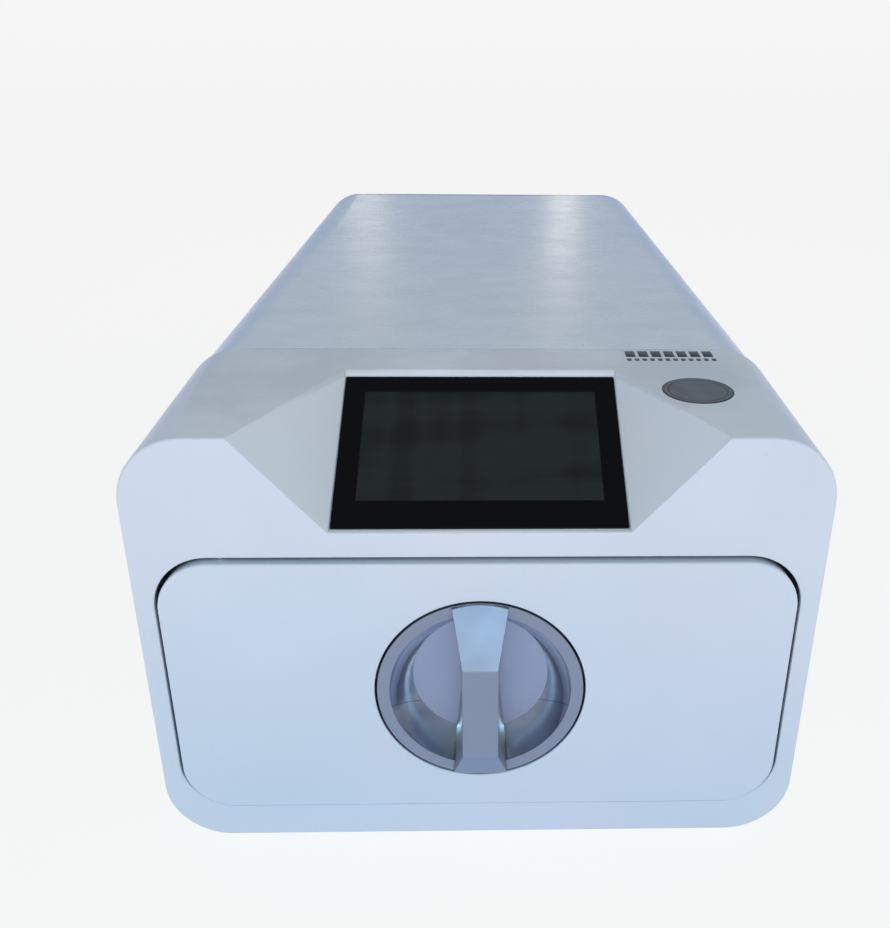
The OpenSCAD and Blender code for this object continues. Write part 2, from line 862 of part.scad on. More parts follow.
module steam_generator() {
  r = 42;
  h = 150;
  leg_h = 12;
  color(steel) body_frame() translate([gen_x, gen_y, pan_top]) difference() {
    union() {
      for (a = [0, 120, 240]) rotate(a) translate([r - 10, 0, 0])
        cylinder(r = 4, h = leg_h + 1, $fn = fine);
      translate([0, 0, leg_h]) cylinder(r = r, h = h, $fn = arc);
      translate([0, 0, leg_h + h - 1]) cylinder(r = r + 6, h = 7, $fn = arc);
      translate([0, 0, leg_h + h + 5]) cylinder(r = 12, h = 11, $fn = fine);
      for (x = [-24, 24]) translate([x, 0, leg_h + h + 5]) cylinder(r = 4, h = 17, $fn = fine);
    }
    translate([0, 0, leg_h + 3]) cylinder(r = r - 3, h = h - 6, $fn = arc);
    translate([0, 0, leg_h + h - 4]) cylinder(r = 3, h = 40, $fn = fine);
  }
}

module steam_pipe() {
  gen_top = pan_top + 182.5;
  color("peru") body_frame() {
    pipe([[gen_x, gen_y, gen_top], [gen_x, gen_y, 230], [-60, 445, 230], [-30, 436, 150],
      [-30, 416.2, 134]], 4);
    pipe([[30, 412.8, 60], [30, 432, 48], [-40, 540, 48], [-60, 564, 60]], 5);
  }
}

module vacuum_pump() {
  color("dimgray") body_frame() {
    translate([-150, 570, pan_top]) cube([110, 90, 8]);
    translate([-95, 572, pan_top + 48]) rod_y(40, 86);
    translate([-135, 575, pan_top + 8]) cube([80, 80, 30]);
    translate([-95, 658, pan_top + 48]) rod_y(22, 10);
    translate([-80, 585, pan_top + 84]) cylinder(r = 9, h = 26, $fn = fine);
    translate([-115, 585, pan_top + 84]) cylinder(r = 9, h = 26, $fn = fine);
  }
}

module water_pump() {
  color(brass) body_frame() translate([30, 560, pan_top]) {
    cube([60, 40, 4]);
    translate([8, 2, 4]) cube([44, 36, 46]);
    translate([30, 38, 28]) rod_y(9, 30);
    translate([30, -20, 28]) rod_y(7, 22);
  }
}

module solenoid_valves() {
  color(brass) body_frame() translate([-196, 250, pan_top + 40]) {
    cube([30, 130, 22]);
    for (i = [0 : 3]) translate([15, 18 + 31 * i, 22]) {
      cylinder(r = 8, h = 8, $fn = fine);
      translate([-13, -12, 8]) cube([26, 24, 26]);
      translate([0, 0, 34]) cylinder(r = 6, h = 6, $fn = fine);
    }
    for (y = [10, 112]) translate([6, y, -16]) cube([4, 8, 16]);
    for (y = [10, 112]) translate([6, y, -16]) cube([26, 8, 3]);
  }
}

module water_tanks() {
  tank_w = 180;
  tank_h = 104;
  color("lightcyan") body_frame() for (side = [-1, 1])
    translate([side * 100, 560, tank_z]) difference() {
      union() {
        along_y(170) rounded_rect(tank_w, tank_h, 24, 6);
        translate([0, 60, tank_h - 2]) cylinder(r = 20, h = 14, $fn = arc);
      }
      translate([0, 2.5, 2.5]) along_y(165) rounded_rect(tank_w - 5, tank_h - 5, 21.5, 4);
      translate([0, 60, tank_h - 10]) cylinder(r = 16, h = 30, $fn = arc);
    }
}

module tank_shelf() {
  shelf_t = 1.5;
  half = 190;
  color(steel) body_frame() difference() {
    union() {
      translate([-half, 555, tank_z - shelf_t - 0.2]) cube([2 * half, 180, shelf_t]);
      for (x = [-half, half - shelf_t], y = [555, 705]) translate([x, y, 30])
        cube([shelf_t, 30, tank_z - shelf_t - 30.2]);
    }
    translate([0, 645, tank_z - 10]) cylinder(r = 20, h = 20, $fn = fine);
  }
}

module condenser() {
  fins = 20;
  pitch = 4.8;
  color("silver") body_frame() translate([fan_x - 46, rear_y - fan_t - 38, fan_z - 46]) {
    for (i = [0 : fins - 1]) translate([i * pitch, 0, 0]) cube([0.8, 34, 92]);
    for (z = [14, 46, 78]) translate([-6, 17, z]) rotate([0, 90, 0])
      cylinder(r = 4, h = 104, $fn = fine);
  }
}

module fan_frame() {
  bolt = fan_size / 2 - 5;
  color(dark) body_frame() translate([fan_x, rear_y - fan_t, fan_z]) {
    difference() {
      translate([0, 0, -fan_size / 2]) along_y(fan_t) rounded_rect(fan_size, fan_size, 5);
      translate([0, -1, 0]) rod_y(fan_size / 2 - 3, fan_t + 2);
      for (sx = [-1, 1], sz = [-1, 1]) translate([sx * bolt, -1, sz * bolt]) rod_y(2.2, fan_t + 2);
    }
    rod_y(17, 3);
    for (i = [0 : 3]) rotate([0, 45 + 90 * i, 0]) translate([0, 0, -2]) cube([44, 3, 4]);
  }
}

module fan_rotor() {
  blades = 7;
  color(dark) body_frame() translate([fan_x, rear_y - fan_t + 4, fan_z]) {
    rod_y(16, 18);
    for (i = [0 : blades - 1]) rotate([0, 360 / blades * i, 0]) translate([14, 9, 0])
      rotate([38, 0, 0]) translate([0, -1, -9]) cube([27, 1.8, 18]);
  }
}

module fan_grille() {
  bolt = fan_size / 2 - 5;
  ring_t = 1.8;
  color(steel) body_frame() translate([fan_x, rear_y + rear_t, fan_z]) {
    for (r = [14, 22, 30, 38, 46]) tube_y(r, r - ring_t, 2);
    for (i = [0 : 3]) rotate([0, 45 + 90 * i, 0]) translate([12.6, 0, -1]) cube([46, 2, 2]);
    for (sx = [-1, 1], sz = [-1, 1]) translate([sx * bolt, 0, sz * bolt]) rod_y(4, 2.4);
  }
}

// ---- electrics ----

module control_board() {
  board_x = 192;
  color("darkgreen") body_frame() {
    translate([board_x, 200, 90]) cube([1.6, 150, 130]);
    for (y = [206, 340], z = [96, 210]) translate([board_x + 1.6, y, z]) rotate([0, 90, 0])
      cylinder(r = 3, h = 12, $fn = fine);
    for (i = [0 : 4]) translate([board_x - 16, 212 + 26 * i, 96]) cube([16, 18, 20]);
    translate([board_x - 24, 220, 150]) cube([24, 40, 34]);
    translate([board_x - 3, 285, 160]) cube([3, 30, 30]);
    for (i = [0 : 2]) translate([board_x, 325, 150 + 20 * i]) rotate([0, -90, 0])
      cylinder(r = 7, h = 20, $fn = fine);
  }
}

module power_supply() {
  box = [60, 140, 60];
  skin = 2;
  color(steel) body_frame() translate([104, 570, pan_top]) difference() {
    cube(box);
    translate([skin, skin, skin]) cube([box.x - 2 * skin, box.y - 2 * skin, box.z - 2 * skin]);
    for (i = [0 : 8]) translate([6, 12 + 13 * i, box.z - 4]) cube([48, 4, 6]);
  }
}

module mains_inlet() {
  color(dark) body_frame() translate([inlet_x, rear_y, inlet_z]) {
    difference() {
      union() {
        translate([-inlet_w / 2, -18, 0.1]) cube([inlet_w, 18 + rear_t, socket_h - 0.2]);
        translate([0, rear_t, -3]) along_y(2) rounded_rect(48, 25.6, 4);
      }
      translate([-12, -14, 1.8]) cube([24, 20, 16]);
    }
    for (x = [-7, 0, 7]) translate([x - 1, -14, x == 0 ? 11.5 : 7]) cube([2, 12, 4]);
  }
}

switch_z = inlet_z + socket_h / 2;
rocker_in = 2;
rocker_tilt = 8;

module power_switch() {
  color(dark) body_frame() translate([switch_x, rear_y, inlet_z]) difference() {
    union() {
      translate([-switch_w / 2, -16, 0.1]) cube([switch_w, 16 + rear_t, socket_h - 0.2]);
      translate([0, rear_t, -2]) along_y(2) rounded_rect(26, 23.6, 2);
    }
    translate([-8, -10, 2]) cube([16, 20, 15.6]);
  }
}

module switch_rocker() {
  half = 6.8;
  front = 5;
  color(dark) body_frame() translate([switch_x, rear_y - rocker_in, switch_z])
    rotate([-rocker_tilt, 0, 0]) rotate([90, 0, 90]) translate([0, 0, -7.6]) linear_extrude(15.2)
      polygon([[-4, -3], [front, -half], [front - 1.1, 0], [front, half], [-4, 3]]);
  color(dark) body_frame() translate([switch_x - 7.9, rear_y - rocker_in, switch_z])
    rotate([0, 90, 0]) cylinder(r = 1.2, h = 15.8, $fn = fine);
}

valve_len = 20;
stem_r = 1.5;

module safety_valve() {
  color(brass) body_frame() translate(valve_at) difference() {
    union() {
      translate([0, -30, 0]) rod_y(valve_r, 44);
      translate([0, rear_t, 0]) rotate([-90, 0, 0]) cylinder(r = 13, h = 5, $fn = 6);
      translate([0, -7, 0]) rotate([-90, 0, 0]) cylinder(r = 13, h = 6.5, $fn = 6);
      translate([0, 13, 0]) rod_y(6, valve_len - 13);
    }
    translate([0, 8, 0]) rod_y(stem_r + 0.05, valve_len);
  }
}

module valve_ring() {
  wire = 1.2;
  ring_mid = 7.3;
  centre_y = body_len + rear_reach - valve_at.y - ring_mid - wire;
  color(steel) body_frame() translate(valve_at) {
    translate([0, 9, 0]) rod_y(stem_r, centre_y - ring_mid - 9 + 0.4);
    translate([0, centre_y, 0]) rotate([0, 90, 0]) rotate_extrude($fn = arc)
      translate([ring_mid, 0]) circle(wire, $fn = fine);
  }
}

module drain_connectors() {
  color(steel) body_frame() for (x = drain_x) translate([x, rear_y, drain_z]) difference() {
    union() {
      translate([0, -14, 0]) rod_y(drain_r, 26);
      translate([0, rear_t, 0]) rotate([-90, 0, 0]) cylinder(r = 10, h = 4, $fn = 6);
      translate([0, -6, 0]) rotate([-90, 0, 0]) cylinder(r = 10, h = 5.5, $fn = 6);
      translate([0, 12, 0]) rod_y(4.5, 12);
    }
    translate([0, 2, 0]) rod_y(3, 30);
  }
}

front_bezel();
outer_cover();
base_pan();
rear_panel();
rubber_feet();
foot_screws();
cover_screws();
touch_glass();
lcd_panel();
display_bracket();
display_board();
front_bulkhead();
hinge_brackets();
hinge_pins();
bar_keepers();
lock_solenoid();
lock_pin();
air_filter();
chamber_flange();
flange_bolts();
chamber_vessel();
band_heater();
insulation_jacket();
chamber_saddle();
tray_rack();
instrument_trays();
door_cover();
door_plate();
door_hinge_blocks();
shaft_bush();
bar_guides();
door_posts();
pressure_disc();
door_gasket();
knob_bowl();
knob_floor();
knob_grip();
knob_shaft();
cam_disc();
locking_bar_left();
locking_bar_right();
steam_generator();
steam_pipe();
vacuum_pump();
water_pump();
solenoid_valves();
water_tanks();
tank_shelf();
condenser();
fan_frame();
fan_rotor();
fan_grille();
control_board();
power_supply();
mains_inlet();
power_switch();
switch_rocker();
safety_valve();
valve_ring();
drain_connectors();
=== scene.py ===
import json
import math

import bmesh
import bpy
from mathutils import Matrix, Vector

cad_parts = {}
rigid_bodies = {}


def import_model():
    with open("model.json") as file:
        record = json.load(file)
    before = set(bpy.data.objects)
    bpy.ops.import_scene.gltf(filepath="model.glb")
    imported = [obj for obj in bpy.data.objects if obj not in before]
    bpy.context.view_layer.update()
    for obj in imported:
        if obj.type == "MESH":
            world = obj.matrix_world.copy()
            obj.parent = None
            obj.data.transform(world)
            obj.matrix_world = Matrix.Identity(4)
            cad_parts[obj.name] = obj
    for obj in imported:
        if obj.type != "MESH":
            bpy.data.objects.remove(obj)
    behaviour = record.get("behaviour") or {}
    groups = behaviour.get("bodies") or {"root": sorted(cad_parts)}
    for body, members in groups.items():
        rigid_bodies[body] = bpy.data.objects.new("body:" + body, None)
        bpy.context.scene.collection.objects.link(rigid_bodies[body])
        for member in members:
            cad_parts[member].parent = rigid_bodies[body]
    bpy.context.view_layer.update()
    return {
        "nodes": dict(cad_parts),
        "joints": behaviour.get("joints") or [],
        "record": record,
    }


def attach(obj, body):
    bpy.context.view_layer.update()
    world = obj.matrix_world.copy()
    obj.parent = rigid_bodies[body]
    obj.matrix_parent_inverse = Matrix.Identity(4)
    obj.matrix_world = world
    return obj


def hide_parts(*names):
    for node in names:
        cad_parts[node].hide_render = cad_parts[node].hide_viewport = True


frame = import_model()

MM = 0.001
RECORD = frame["record"]
JOINTS = {j["name"]: j for j in frame["joints"]}

# ---- driving sizes, in millimetres ----

BODY_W, FACE_H, FACE_R = 430.0, 299.5, 42.8
SEAM_Y, SEAM_W, SEAM_H = 156.0, 429.3, 304.6
COVER_W, COVER_H, COVER_R = 428.1, 305.5, 48.4
BODY_LEN, SHEET_T = 800.0, 1.2
OPEN_W, OPEN_LOW, OPEN_HIGH, OPEN_R = 405.0, 25.9, 220.9, 36.0
GAP, PROUD, DOOR_DEPTH = 2.9, 3.4, 13.8
KNOB_U, KNOB_R, RING_R, FLOOR_R, BOWL_DEPTH = 122.9, 67.0, 58.8, 44.5, 19.7
GLASS_TILT, GLASS_Y, GLASS_Z = math.radians(30.8), 16.3, 238.3
GLASS_W, GLASS_H, GLASS_T = 182.8, 117.2, 1.8
WINDOW_W, WINDOW_H, WINDOW_LOW = 154.4, 84.8, 19.2
TIP_X, LEDGE_U = 147.6, 237.3
POCKET_X, POCKET_LOW, POCKET_HIGH = GLASS_W / 2 + 0.6, -0.6, GLASS_H + 0.9
POCKET_DEPTH = 2.0
BAR_OUT, BAR_HALF, BAR_W = 26.8, 33.3, 11.2
BAR_END_U, BAR_END_OUT, BAR_END_W, BAR_END_R = 64.24, 5.9, 17.92, KNOB_R - 0.3
BAR_BASE, BAR_SEAT, BAR_SPLAY = PROUD - 0.4, 0.2, 0.8
ARC_STEPS = 16


# ---- frames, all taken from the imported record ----

KNOB_AXIS = Vector(JOINTS["knob_turn"]["axis"])
FACE_UP = Vector((1, 0, 0)).cross(KNOB_AXIS)
BODY_ORIGIN = Vector(JOINTS["knob_turn"]["pos_m"]) - FACE_UP * KNOB_U * MM
LEAN = math.atan2(FACE_UP.y, FACE_UP.z)


def body_point(x, y, z):
    """A point in the body frame: y from the front's lower edge, z from the underside."""
    return BODY_ORIGIN + Vector((x, y, z)) * MM


def face_point(x, out, up):
    """A point in the leaning face's frame: out is how far it stands in front of the face."""
    return BODY_ORIGIN + (Vector((x, 0, 0)) - KNOB_AXIS * out + FACE_UP * up) * MM


def knob_point(x, out, up):
    """A face point measured from the knob's centre."""
    return face_point(x, out, up + KNOB_U)


def glass_point(x, up, out):
    """A point in the display's frame: up along the glass and out of it."""
    y = GLASS_Y + up * math.cos(GLASS_TILT) - out * math.sin(GLASS_TILT)
    z = GLASS_Z + up * math.sin(GLASS_TILT) + out * math.cos(GLASS_TILT)
    return body_point(x, y, z)


# ---- mesh helpers ----

class Shell:
    """A mesh collected from faces given as points; equal points share one vertex."""

    def __init__(self):
        self.ids, self.points, self.faces, self.paints, self.edges = {}, [], [], [], {}

    def vertex(self, point):
        key = tuple(round(c * 1e6) for c in point)
        if key not in self.ids:
            self.ids[key] = len(self.points)
            self.points.append(Vector(point))
        return self.ids[key]

    def face(self, points, paint=0):
        loop = []
        for point in points:
            i = self.vertex(point)
            if i not in loop:
                loop.append(i)
        if len(loop) > 2:
            self.faces.append(loop)
            self.paints.append(paint)

    def strip(self, a, b, paint=0, closed=False):
        """Quads between two rows of points."""
        count = len(a)
        for i in range(count if closed else count - 1):
            j = (i + 1) % count
            self.face([a[i], a[j], b[j], b[i]], paint)

    def crease(self, points, weight, closed=False):
        """Marks the edges along a row of points to be rounded, by a share of the full radius."""
        ids = [self.vertex(p) for p in points]
        pairs = list(zip(ids, ids[1:] + ids[:1])) if closed else list(zip(ids, ids[1:]))
        for a, b in pairs:
            self.edges[frozenset((a, b))] = weight

    def make(self, name, body, slot, outward=None):
        """The finished object; outward is the direction that its first face looks in."""
        mesh = bpy.data.meshes.new(name)
        mesh.from_pydata(self.points, [], self.faces)
        mesh.polygons.foreach_set("material_index", self.paints)
        weights = mesh.attributes.new("bevel_weight_edge", "FLOAT", "EDGE")
        for edge in mesh.edges:
            weights.data[edge.index].value = self.edges.get(frozenset(edge.vertices), 0.0)
        grid = bmesh.new()
        grid.from_mesh(mesh)
        bmesh.ops.recalc_face_normals(grid, faces=grid.faces)
        grid.faces.ensure_lookup_table()
        if outward is not None and grid.faces[0].normal.dot(Vector(outward)) < 0:
            bmesh.ops.reverse_faces(grid, faces=grid.faces)
        grid.to_mesh(mesh)
        grid.free()
        mesh.shade_smooth()
        piece = bpy.data.objects.new(name, mesh)
        bpy.context.scene.collection.objects.link(piece)
        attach(piece, body)
        return piece


def round_edges(piece, width, segments=3):
    """Rounds the creased edges."""
    bevel = piece.modifiers.new("round", "BEVEL")
    bevel.limit_method = "WEIGHT"
    bevel.width = width * MM
    bevel.segments = segments
    bevel.use_clamp_overlap = False
    bevel.harden_normals = False


def thicken(piece, thickness):
    """Gives an open skin its wall, on the inner side."""
    solid = piece.modifiers.new("wall", "SOLIDIFY")
    solid.thickness = thickness * MM
    solid.offset = -1
    solid.use_quality_normals = True


def even_normals(piece):
    """Keeps the large flat faces flat next to the rounded edges."""
    weighted = piece.modifiers.new("normals", "WEIGHTED_NORMAL")
    weighted.keep_sharp = True
    weighted.weight = 100


def half_outline(width, low, high, r_low, r_top):
    """The right half of a rounded rectangle as (x, up), from the bottom's middle to the top's."""
    half = width / 2
    points = [(0.0, low)]
    for i in range(ARC_STEPS + 1):
        a = math.pi / 2 * i / ARC_STEPS
        points.append((half - r_low + r_low * math.sin(a), low + r_low - r_low * math.cos(a)))
    for i in range(ARC_STEPS + 1):
        a = math.pi / 2 * i / ARC_STEPS
        points.append((half - r_top + r_top * math.cos(a), high - r_top + r_top * math.sin(a)))
    return points + [(0.0, high)]


def mirrored(half):
    """A whole outline from its right half."""
    return half + [(-x, up) for x, up in reversed(half[1:-1])]


def inset(width, low, high, r_low, r_top, by):
    return half_outline(width - 2 * by, low + by, high - by, r_low - by, r_top - by)


def circle(radius, out, steps=128):
    """Points of a circle about the knob's axis."""
    return [
        knob_point(radius * math.cos(a), out, radius * math.sin(a))
        for a in (2 * math.pi * i / steps for i in range(steps))
    ]


# ---- node helpers ----

class Paint:
    """A material with a Principled shader and short ways to feed it."""

    def __init__(self, name, color, roughness, metallic=0.0, **sockets):
        self.material = bpy.data.materials.new(name)
        self.material.use_nodes = True
        self.tree = self.material.node_tree
        self.shader = self.tree.nodes["Principled BSDF"]
        self.material.diffuse_color = (*color, 1)
        self.set("Base Color", (*color, 1))
        self.set("Roughness", roughness)
        self.set("Metallic", metallic)
        for key, value in sockets.items():
            self.set(key.replace("_", " "), value)
        self.place = self.tree.nodes.new("ShaderNodeTexCoord").outputs["Object"]

    def set(self, socket, value):
        self.shader.inputs[socket].default_value = value

    def link(self, output, socket):
        self.tree.links.new(output, self.shader.inputs[socket])

    def node(self, kind, **inputs):
        made = self.tree.nodes.new(kind)
        for key, value in inputs.items():
            made.inputs[key.replace("_", " ")].default_value = value
        return made

    def stretched(self, scale):
        """Object coordinates scaled by (x, y, z)."""
        mapping = self.node("ShaderNodeMapping", Scale=scale)
        self.tree.links.new(self.place, mapping.inputs["Vector"])
        return mapping.outputs["Vector"]

    def noise(self, scale, detail=3.0, stretch=None, roughness=0.5):
        made = self.node("ShaderNodeTexNoise", Scale=scale, Detail=detail, Roughness=roughness)
        source = self.place if stretch is None else self.stretched(stretch)
        self.tree.links.new(source, made.inputs["Vector"])
        return made.outputs["Fac"]

    def cells(self, scale, output="Color", feature="F1"):
        made = self.node("ShaderNodeTexVoronoi", Scale=scale)
        made.feature = feature
        self.tree.links.new(self.place, made.inputs["Vector"])
        return made.outputs[output]

    def span(self, value, low, high, to_low, to_high):
        """Maps a value from low..high to to_low..to_high, clamped."""
        made = self.tree.nodes.new("ShaderNodeMapRange")
        for key, number in (("From Min", low), ("From Max", high), ("To Min", to_low),
                            ("To Max", to_high)):
            made.inputs[key].default_value = number
        self.tree.links.new(value, made.inputs["Value"])
        return made.outputs["Result"]

    def math(self, operation, a, b=None):
        made = self.tree.nodes.new("ShaderNodeMath")
        made.operation = operation
        for i, source in enumerate((a, b)):
            if source is None:
                continue
            if isinstance(source, (int, float)):
                made.inputs[i].default_value = source
            else:
                self.tree.links.new(source, made.inputs[i])
        return made.outputs["Value"]

    def mix(self, factor, a, b, blend="MIX"):
        """A colour between a and b, either of which may be an output."""
        made = self.tree.nodes.new("ShaderNodeMix")
        made.data_type = "RGBA"
        made.blend_type = blend
        self.tree.links.new(factor, made.inputs["Factor"])
        sockets = [i for i in made.inputs if i.type == "RGBA"]
        for socket, source in zip(sockets, (a, b)):
            if isinstance(source, tuple):
                socket.default_value = (*source, 1)
            else:
                self.tree.links.new(source, socket)
        return next(o for o in made.outputs if o.type == "RGBA")

    def tinted(self, color, factor, tint):
        """The colour multiplied by a tint, as far as the factor says."""
        return self.mix(factor, color, tint, "MULTIPLY")

    def axes(self):
        """The object coordinates' x, y and z."""
        made = self.tree.nodes.new("ShaderNodeSeparateXYZ")
        self.tree.links.new(self.place, made.inputs["Vector"])
        return made.outputs["X"], made.outputs["Y"], made.outputs["Z"]

    def bump(self, height, distance, strength=1.0):
        made = self.node("ShaderNodeBump", Strength=strength, Distance=distance)
        self.tree.links.new(height, made.inputs["Height"])
        self.link(made.outputs["Normal"], "Normal")

    def vary_color(self, factor, a, b):
        self.link(self.mix(factor, a, b), "Base Color")

    def vary_roughness(self, value, low, high):
        self.link(self.span(value, 0.3, 0.7, low, high), "Roughness")


def shade(color, factor):
    return tuple(min(1.0, c * factor) for c in color)


# ---- materials ----
#
# Positions in a material are in metres, and a noise scale is in features per metre.

def moulded_plastic(name, color):
    """Pale moulded plastic: fine grain, clouding, dust, a painted shade that turns it cooler and
    darker towards the bottom, and darker grey blotches on its top only.
    """
    cool = (color[0] * 0.975, color[1], color[2] * 1.01)
    warm = (color[0] * 1.01, color[1] * 0.99, color[2])
    # The first tint is painted shade on the lower face; the second greys blotches on the top face
    # only.
    low_shade_tint, top_tint = (0.83, 0.92, 0.975), (0.84, 0.84, 0.85)
    low_shade_full_z, low_shade_gone_z = 0.04, 0.24
    top_z = body_point(0, 0, FACE_H * math.cos(LEAN)).z
    p = Paint(name, color, 0.42, IOR=1.46, Coat_Weight=0.25, Coat_Roughness=0.3)
    _, _, z = p.axes()
    clouds = p.span(p.noise(9.0, 5.0, roughness=0.6), 0.38, 0.62, 0.07, 0.0)
    hue = p.mix(p.span(p.noise(5.0, 3.0), 0.4, 0.6, 0.0, 1.0), cool, warm)
    dust = p.span(p.noise(420.0, 2.0), 0.74, 0.80, 0.0, 0.5)
    soiled = p.mix(dust, p.mix(clouds, hue, shade(color, 0.6)), shade(color, 0.62))
    # Darker grey blotches, laid on the top face only, above the front's top edge.
    marks = p.span(p.noise(12.0, 5.0, roughness=0.6), 0.4, 0.6, 1.0, 0.1)
    on_top = p.math("MULTIPLY", p.span(z, top_z, top_z + 0.001, 0.0, 1.0), marks)
    marked = p.tinted(soiled, on_top, top_tint)
    # Painted shade: the lower face is multiplied towards the cool, darker tint, fully below 4 cm
    # height and fading out by 24 cm.
    p.link(p.tinted(marked, p.span(z, low_shade_full_z, low_shade_gone_z, 1.0, 0.0), low_shade_tint), "Base Color")
    p.vary_roughness(p.noise(24.0, 5.0), 0.36, 0.48)
    p.bump(p.noise(1600.0, 2.0), 0.00004, 0.5)
    return p.material


def painted_sheet(name, color):
    """Painted sheet with slow waves in the metal, soft smears and a painted shade band along its
    rear edge.
    """
    rear_shade_tint, rear_shade_w, rear_shade_blend = (0.36, 0.37, 0.40), 0.007, 0.004
    p = Paint(name, color, 0.34, IOR=1.5, Coat_Weight=0.2, Coat_Roughness=0.3)
    smears = p.noise(22.0, 7.0, (1.0, 1.3, 1.0), 0.66)
    patches = p.noise(4.0, 2.0)
    cloud = p.math("ADD", p.math("MULTIPLY", smears, 0.7), p.math("MULTIPLY", patches, 0.3))
    base = p.mix(p.span(cloud, 0.4, 0.6, 0.0, 1.0), shade(color, 0.95), shade(color, 1.04))
    _, y, _ = p.axes()
    rear = body_point(0, BODY_LEN, COVER_H).y
    # Painted shade: a dark band along the rear edge, full over its last 7 mm and the fold, fading
    # in from 11 mm.
    rim = p.span(y, rear - rear_shade_w - rear_shade_blend, rear - rear_shade_w, 0.0, 1.0)
    p.link(p.tinted(base, rim, rear_shade_tint), "Base Color")
    p.vary_roughness(p.noise(16.0, 5.0, (1.0, 2.0, 1.0), 0.6), 0.23, 0.31)
    p.bump(p.noise(5.0, 1.0), 0.0003, 0.5)
    return p.material


def brushed_metal(name, color, roughness=0.3, stretch=(1.0, 30.0, 30.0)):
    """Metal with fine parallel brush lines along x."""
    p = Paint(name, color, roughness, 1.0)
    lines = p.noise(90.0, 3.0, stretch)
    p.vary_color(p.span(lines, 0.3, 0.7, 0.0, 1.0), shade(color, 0.86), shade(color, 1.08))
    p.vary_roughness(lines, roughness - 0.08, roughness + 0.12)
    p.bump(lines, 0.00002, 0.5)
    return p.material


def zinc_sheet(name, color):
    """Zinc-plated sheet with a soft spangle and handling marks."""
    p = Paint(name, color, 0.4, 0.9)
    tint = p.cells(160.0)
    grey = p.tree.nodes.new("ShaderNodeRGBToBW")
    p.tree.links.new(tint, grey.inputs["Color"])
    p.vary_color(p.span(grey.outputs["Val"], 0.2, 0.8, 0.0, 1.0), shade(color, 0.88),
                 shade(color, 1.05))
    p.vary_roughness(p.noise(18.0, 6.0), 0.3, 0.5)
    p.bump(p.noise(300.0, 3.0), 0.00003, 0.4)
    return p.material


def satin_metal(name, color):
    """Bead-blasted metal: an even satin with a very fine grain and faint finger marks."""
    roughness = 0.42
    p = Paint(name, color, roughness, 0.75)
    marks = p.noise(38.0, 5.0)
    p.vary_color(p.span(marks, 0.4, 0.68, 0.0, 1.0), shade(color, 0.97), shade(color, 1.04))
    p.vary_roughness(marks, roughness - 0.05, roughness + 0.08)
    p.bump(p.noise(2600.0, 2.0), 0.00002, 0.6)
    return p.material


def chrome_bowl(name, color):
    """Polished bowl: smears, a hair-line joint on each side, a painted warm reflection on its
    lowest part, and worn patches below the joint.
    """
    joint_color, warm_reflection_tint = (0.03, 0.035, 0.05), (1.0, 0.90, 0.76)
    joint_slope, worn_metallic, worn_blend = 0.6, 0.72, 0.006
    joint_at = knob_point(0, 0, -13.0)
    ring_low, floor_low = knob_point(0, 0, -RING_R).z, knob_point(0, 0, -FLOOR_R).z
    p = Paint(name, color, 0.18, 1.0)
    _, y, z = p.axes()
    drop = p.math("MULTIPLY", p.math("SUBTRACT", y, joint_at.y), joint_slope)
    off = p.math("ABSOLUTE", p.math("ADD", p.math("SUBTRACT", z, joint_at.z), drop))
    joint = p.span(off, 0.0001, 0.0003, 0.85, 0.0)
    smear = p.noise(30.0, 5.0)
    polish = p.span(smear, 0.35, 0.7, 0.0, 1.0)
    cool = p.mix(polish, shade(color, 0.86), shade(color, 1.06))
    # Painted reflection: the bowl turns warm below the height of the floor's lowest edge, fully at
    # the ring's lowest point.
    base = p.tinted(cool, p.span(z, ring_low, floor_low, 1.0, 0.0), warm_reflection_tint)
    p.link(p.mix(joint, base, joint_color), "Base Color")
    worn = p.span(p.noise(26.0, 1.0), 0.42, 0.6, 0.0, 1.0)
    below = p.span(z, joint_at.z, joint_at.z - worn_blend, 0.0, 1.0)
    dull = p.math("MULTIPLY", worn, below)
    p.link(p.span(dull, 0.0, 1.0, 1.0, worn_metallic), "Metallic")
    p.vary_roughness(smear, 0.07, 0.15)
    p.bump(p.noise(14.0, 1.0), 0.0012, 0.5)
    return p.material


def cast_metal(name, color):
    p = Paint(name, color, 0.55, 0.8)
    grain = p.noise(420.0, 4.0)
    p.vary_color(p.noise(30.0, 4.0), shade(color, 0.85), shade(color, 1.1))
    p.vary_roughness(grain, 0.45, 0.65)
    p.bump(grain, 0.00015, 0.6)
    return p.material


def rubber(name, color):
    p = Paint(name, color, 0.75, IOR=1.5)
    grain = p.noise(900.0, 3.0)
    p.vary_color(p.noise(60.0, 4.0), shade(color, 0.8), shade(color, 1.25))
    p.vary_roughness(p.noise(45.0, 4.0), 0.62, 0.85)
    p.bump(grain, 0.00006, 0.6)
    return p.material


def matte_plastic(name, color):
    """Spark-textured moulded plastic."""
    p = Paint(name, color, 0.5, IOR=1.46)
    p.vary_color(p.noise(26.0, 4.0), shade(color, 0.9), shade(color, 1.08))
    p.vary_roughness(p.noise(70.0, 4.0), 0.4, 0.62)
    p.bump(p.noise(1400.0, 2.0), 0.00005, 0.7)
    return p.material


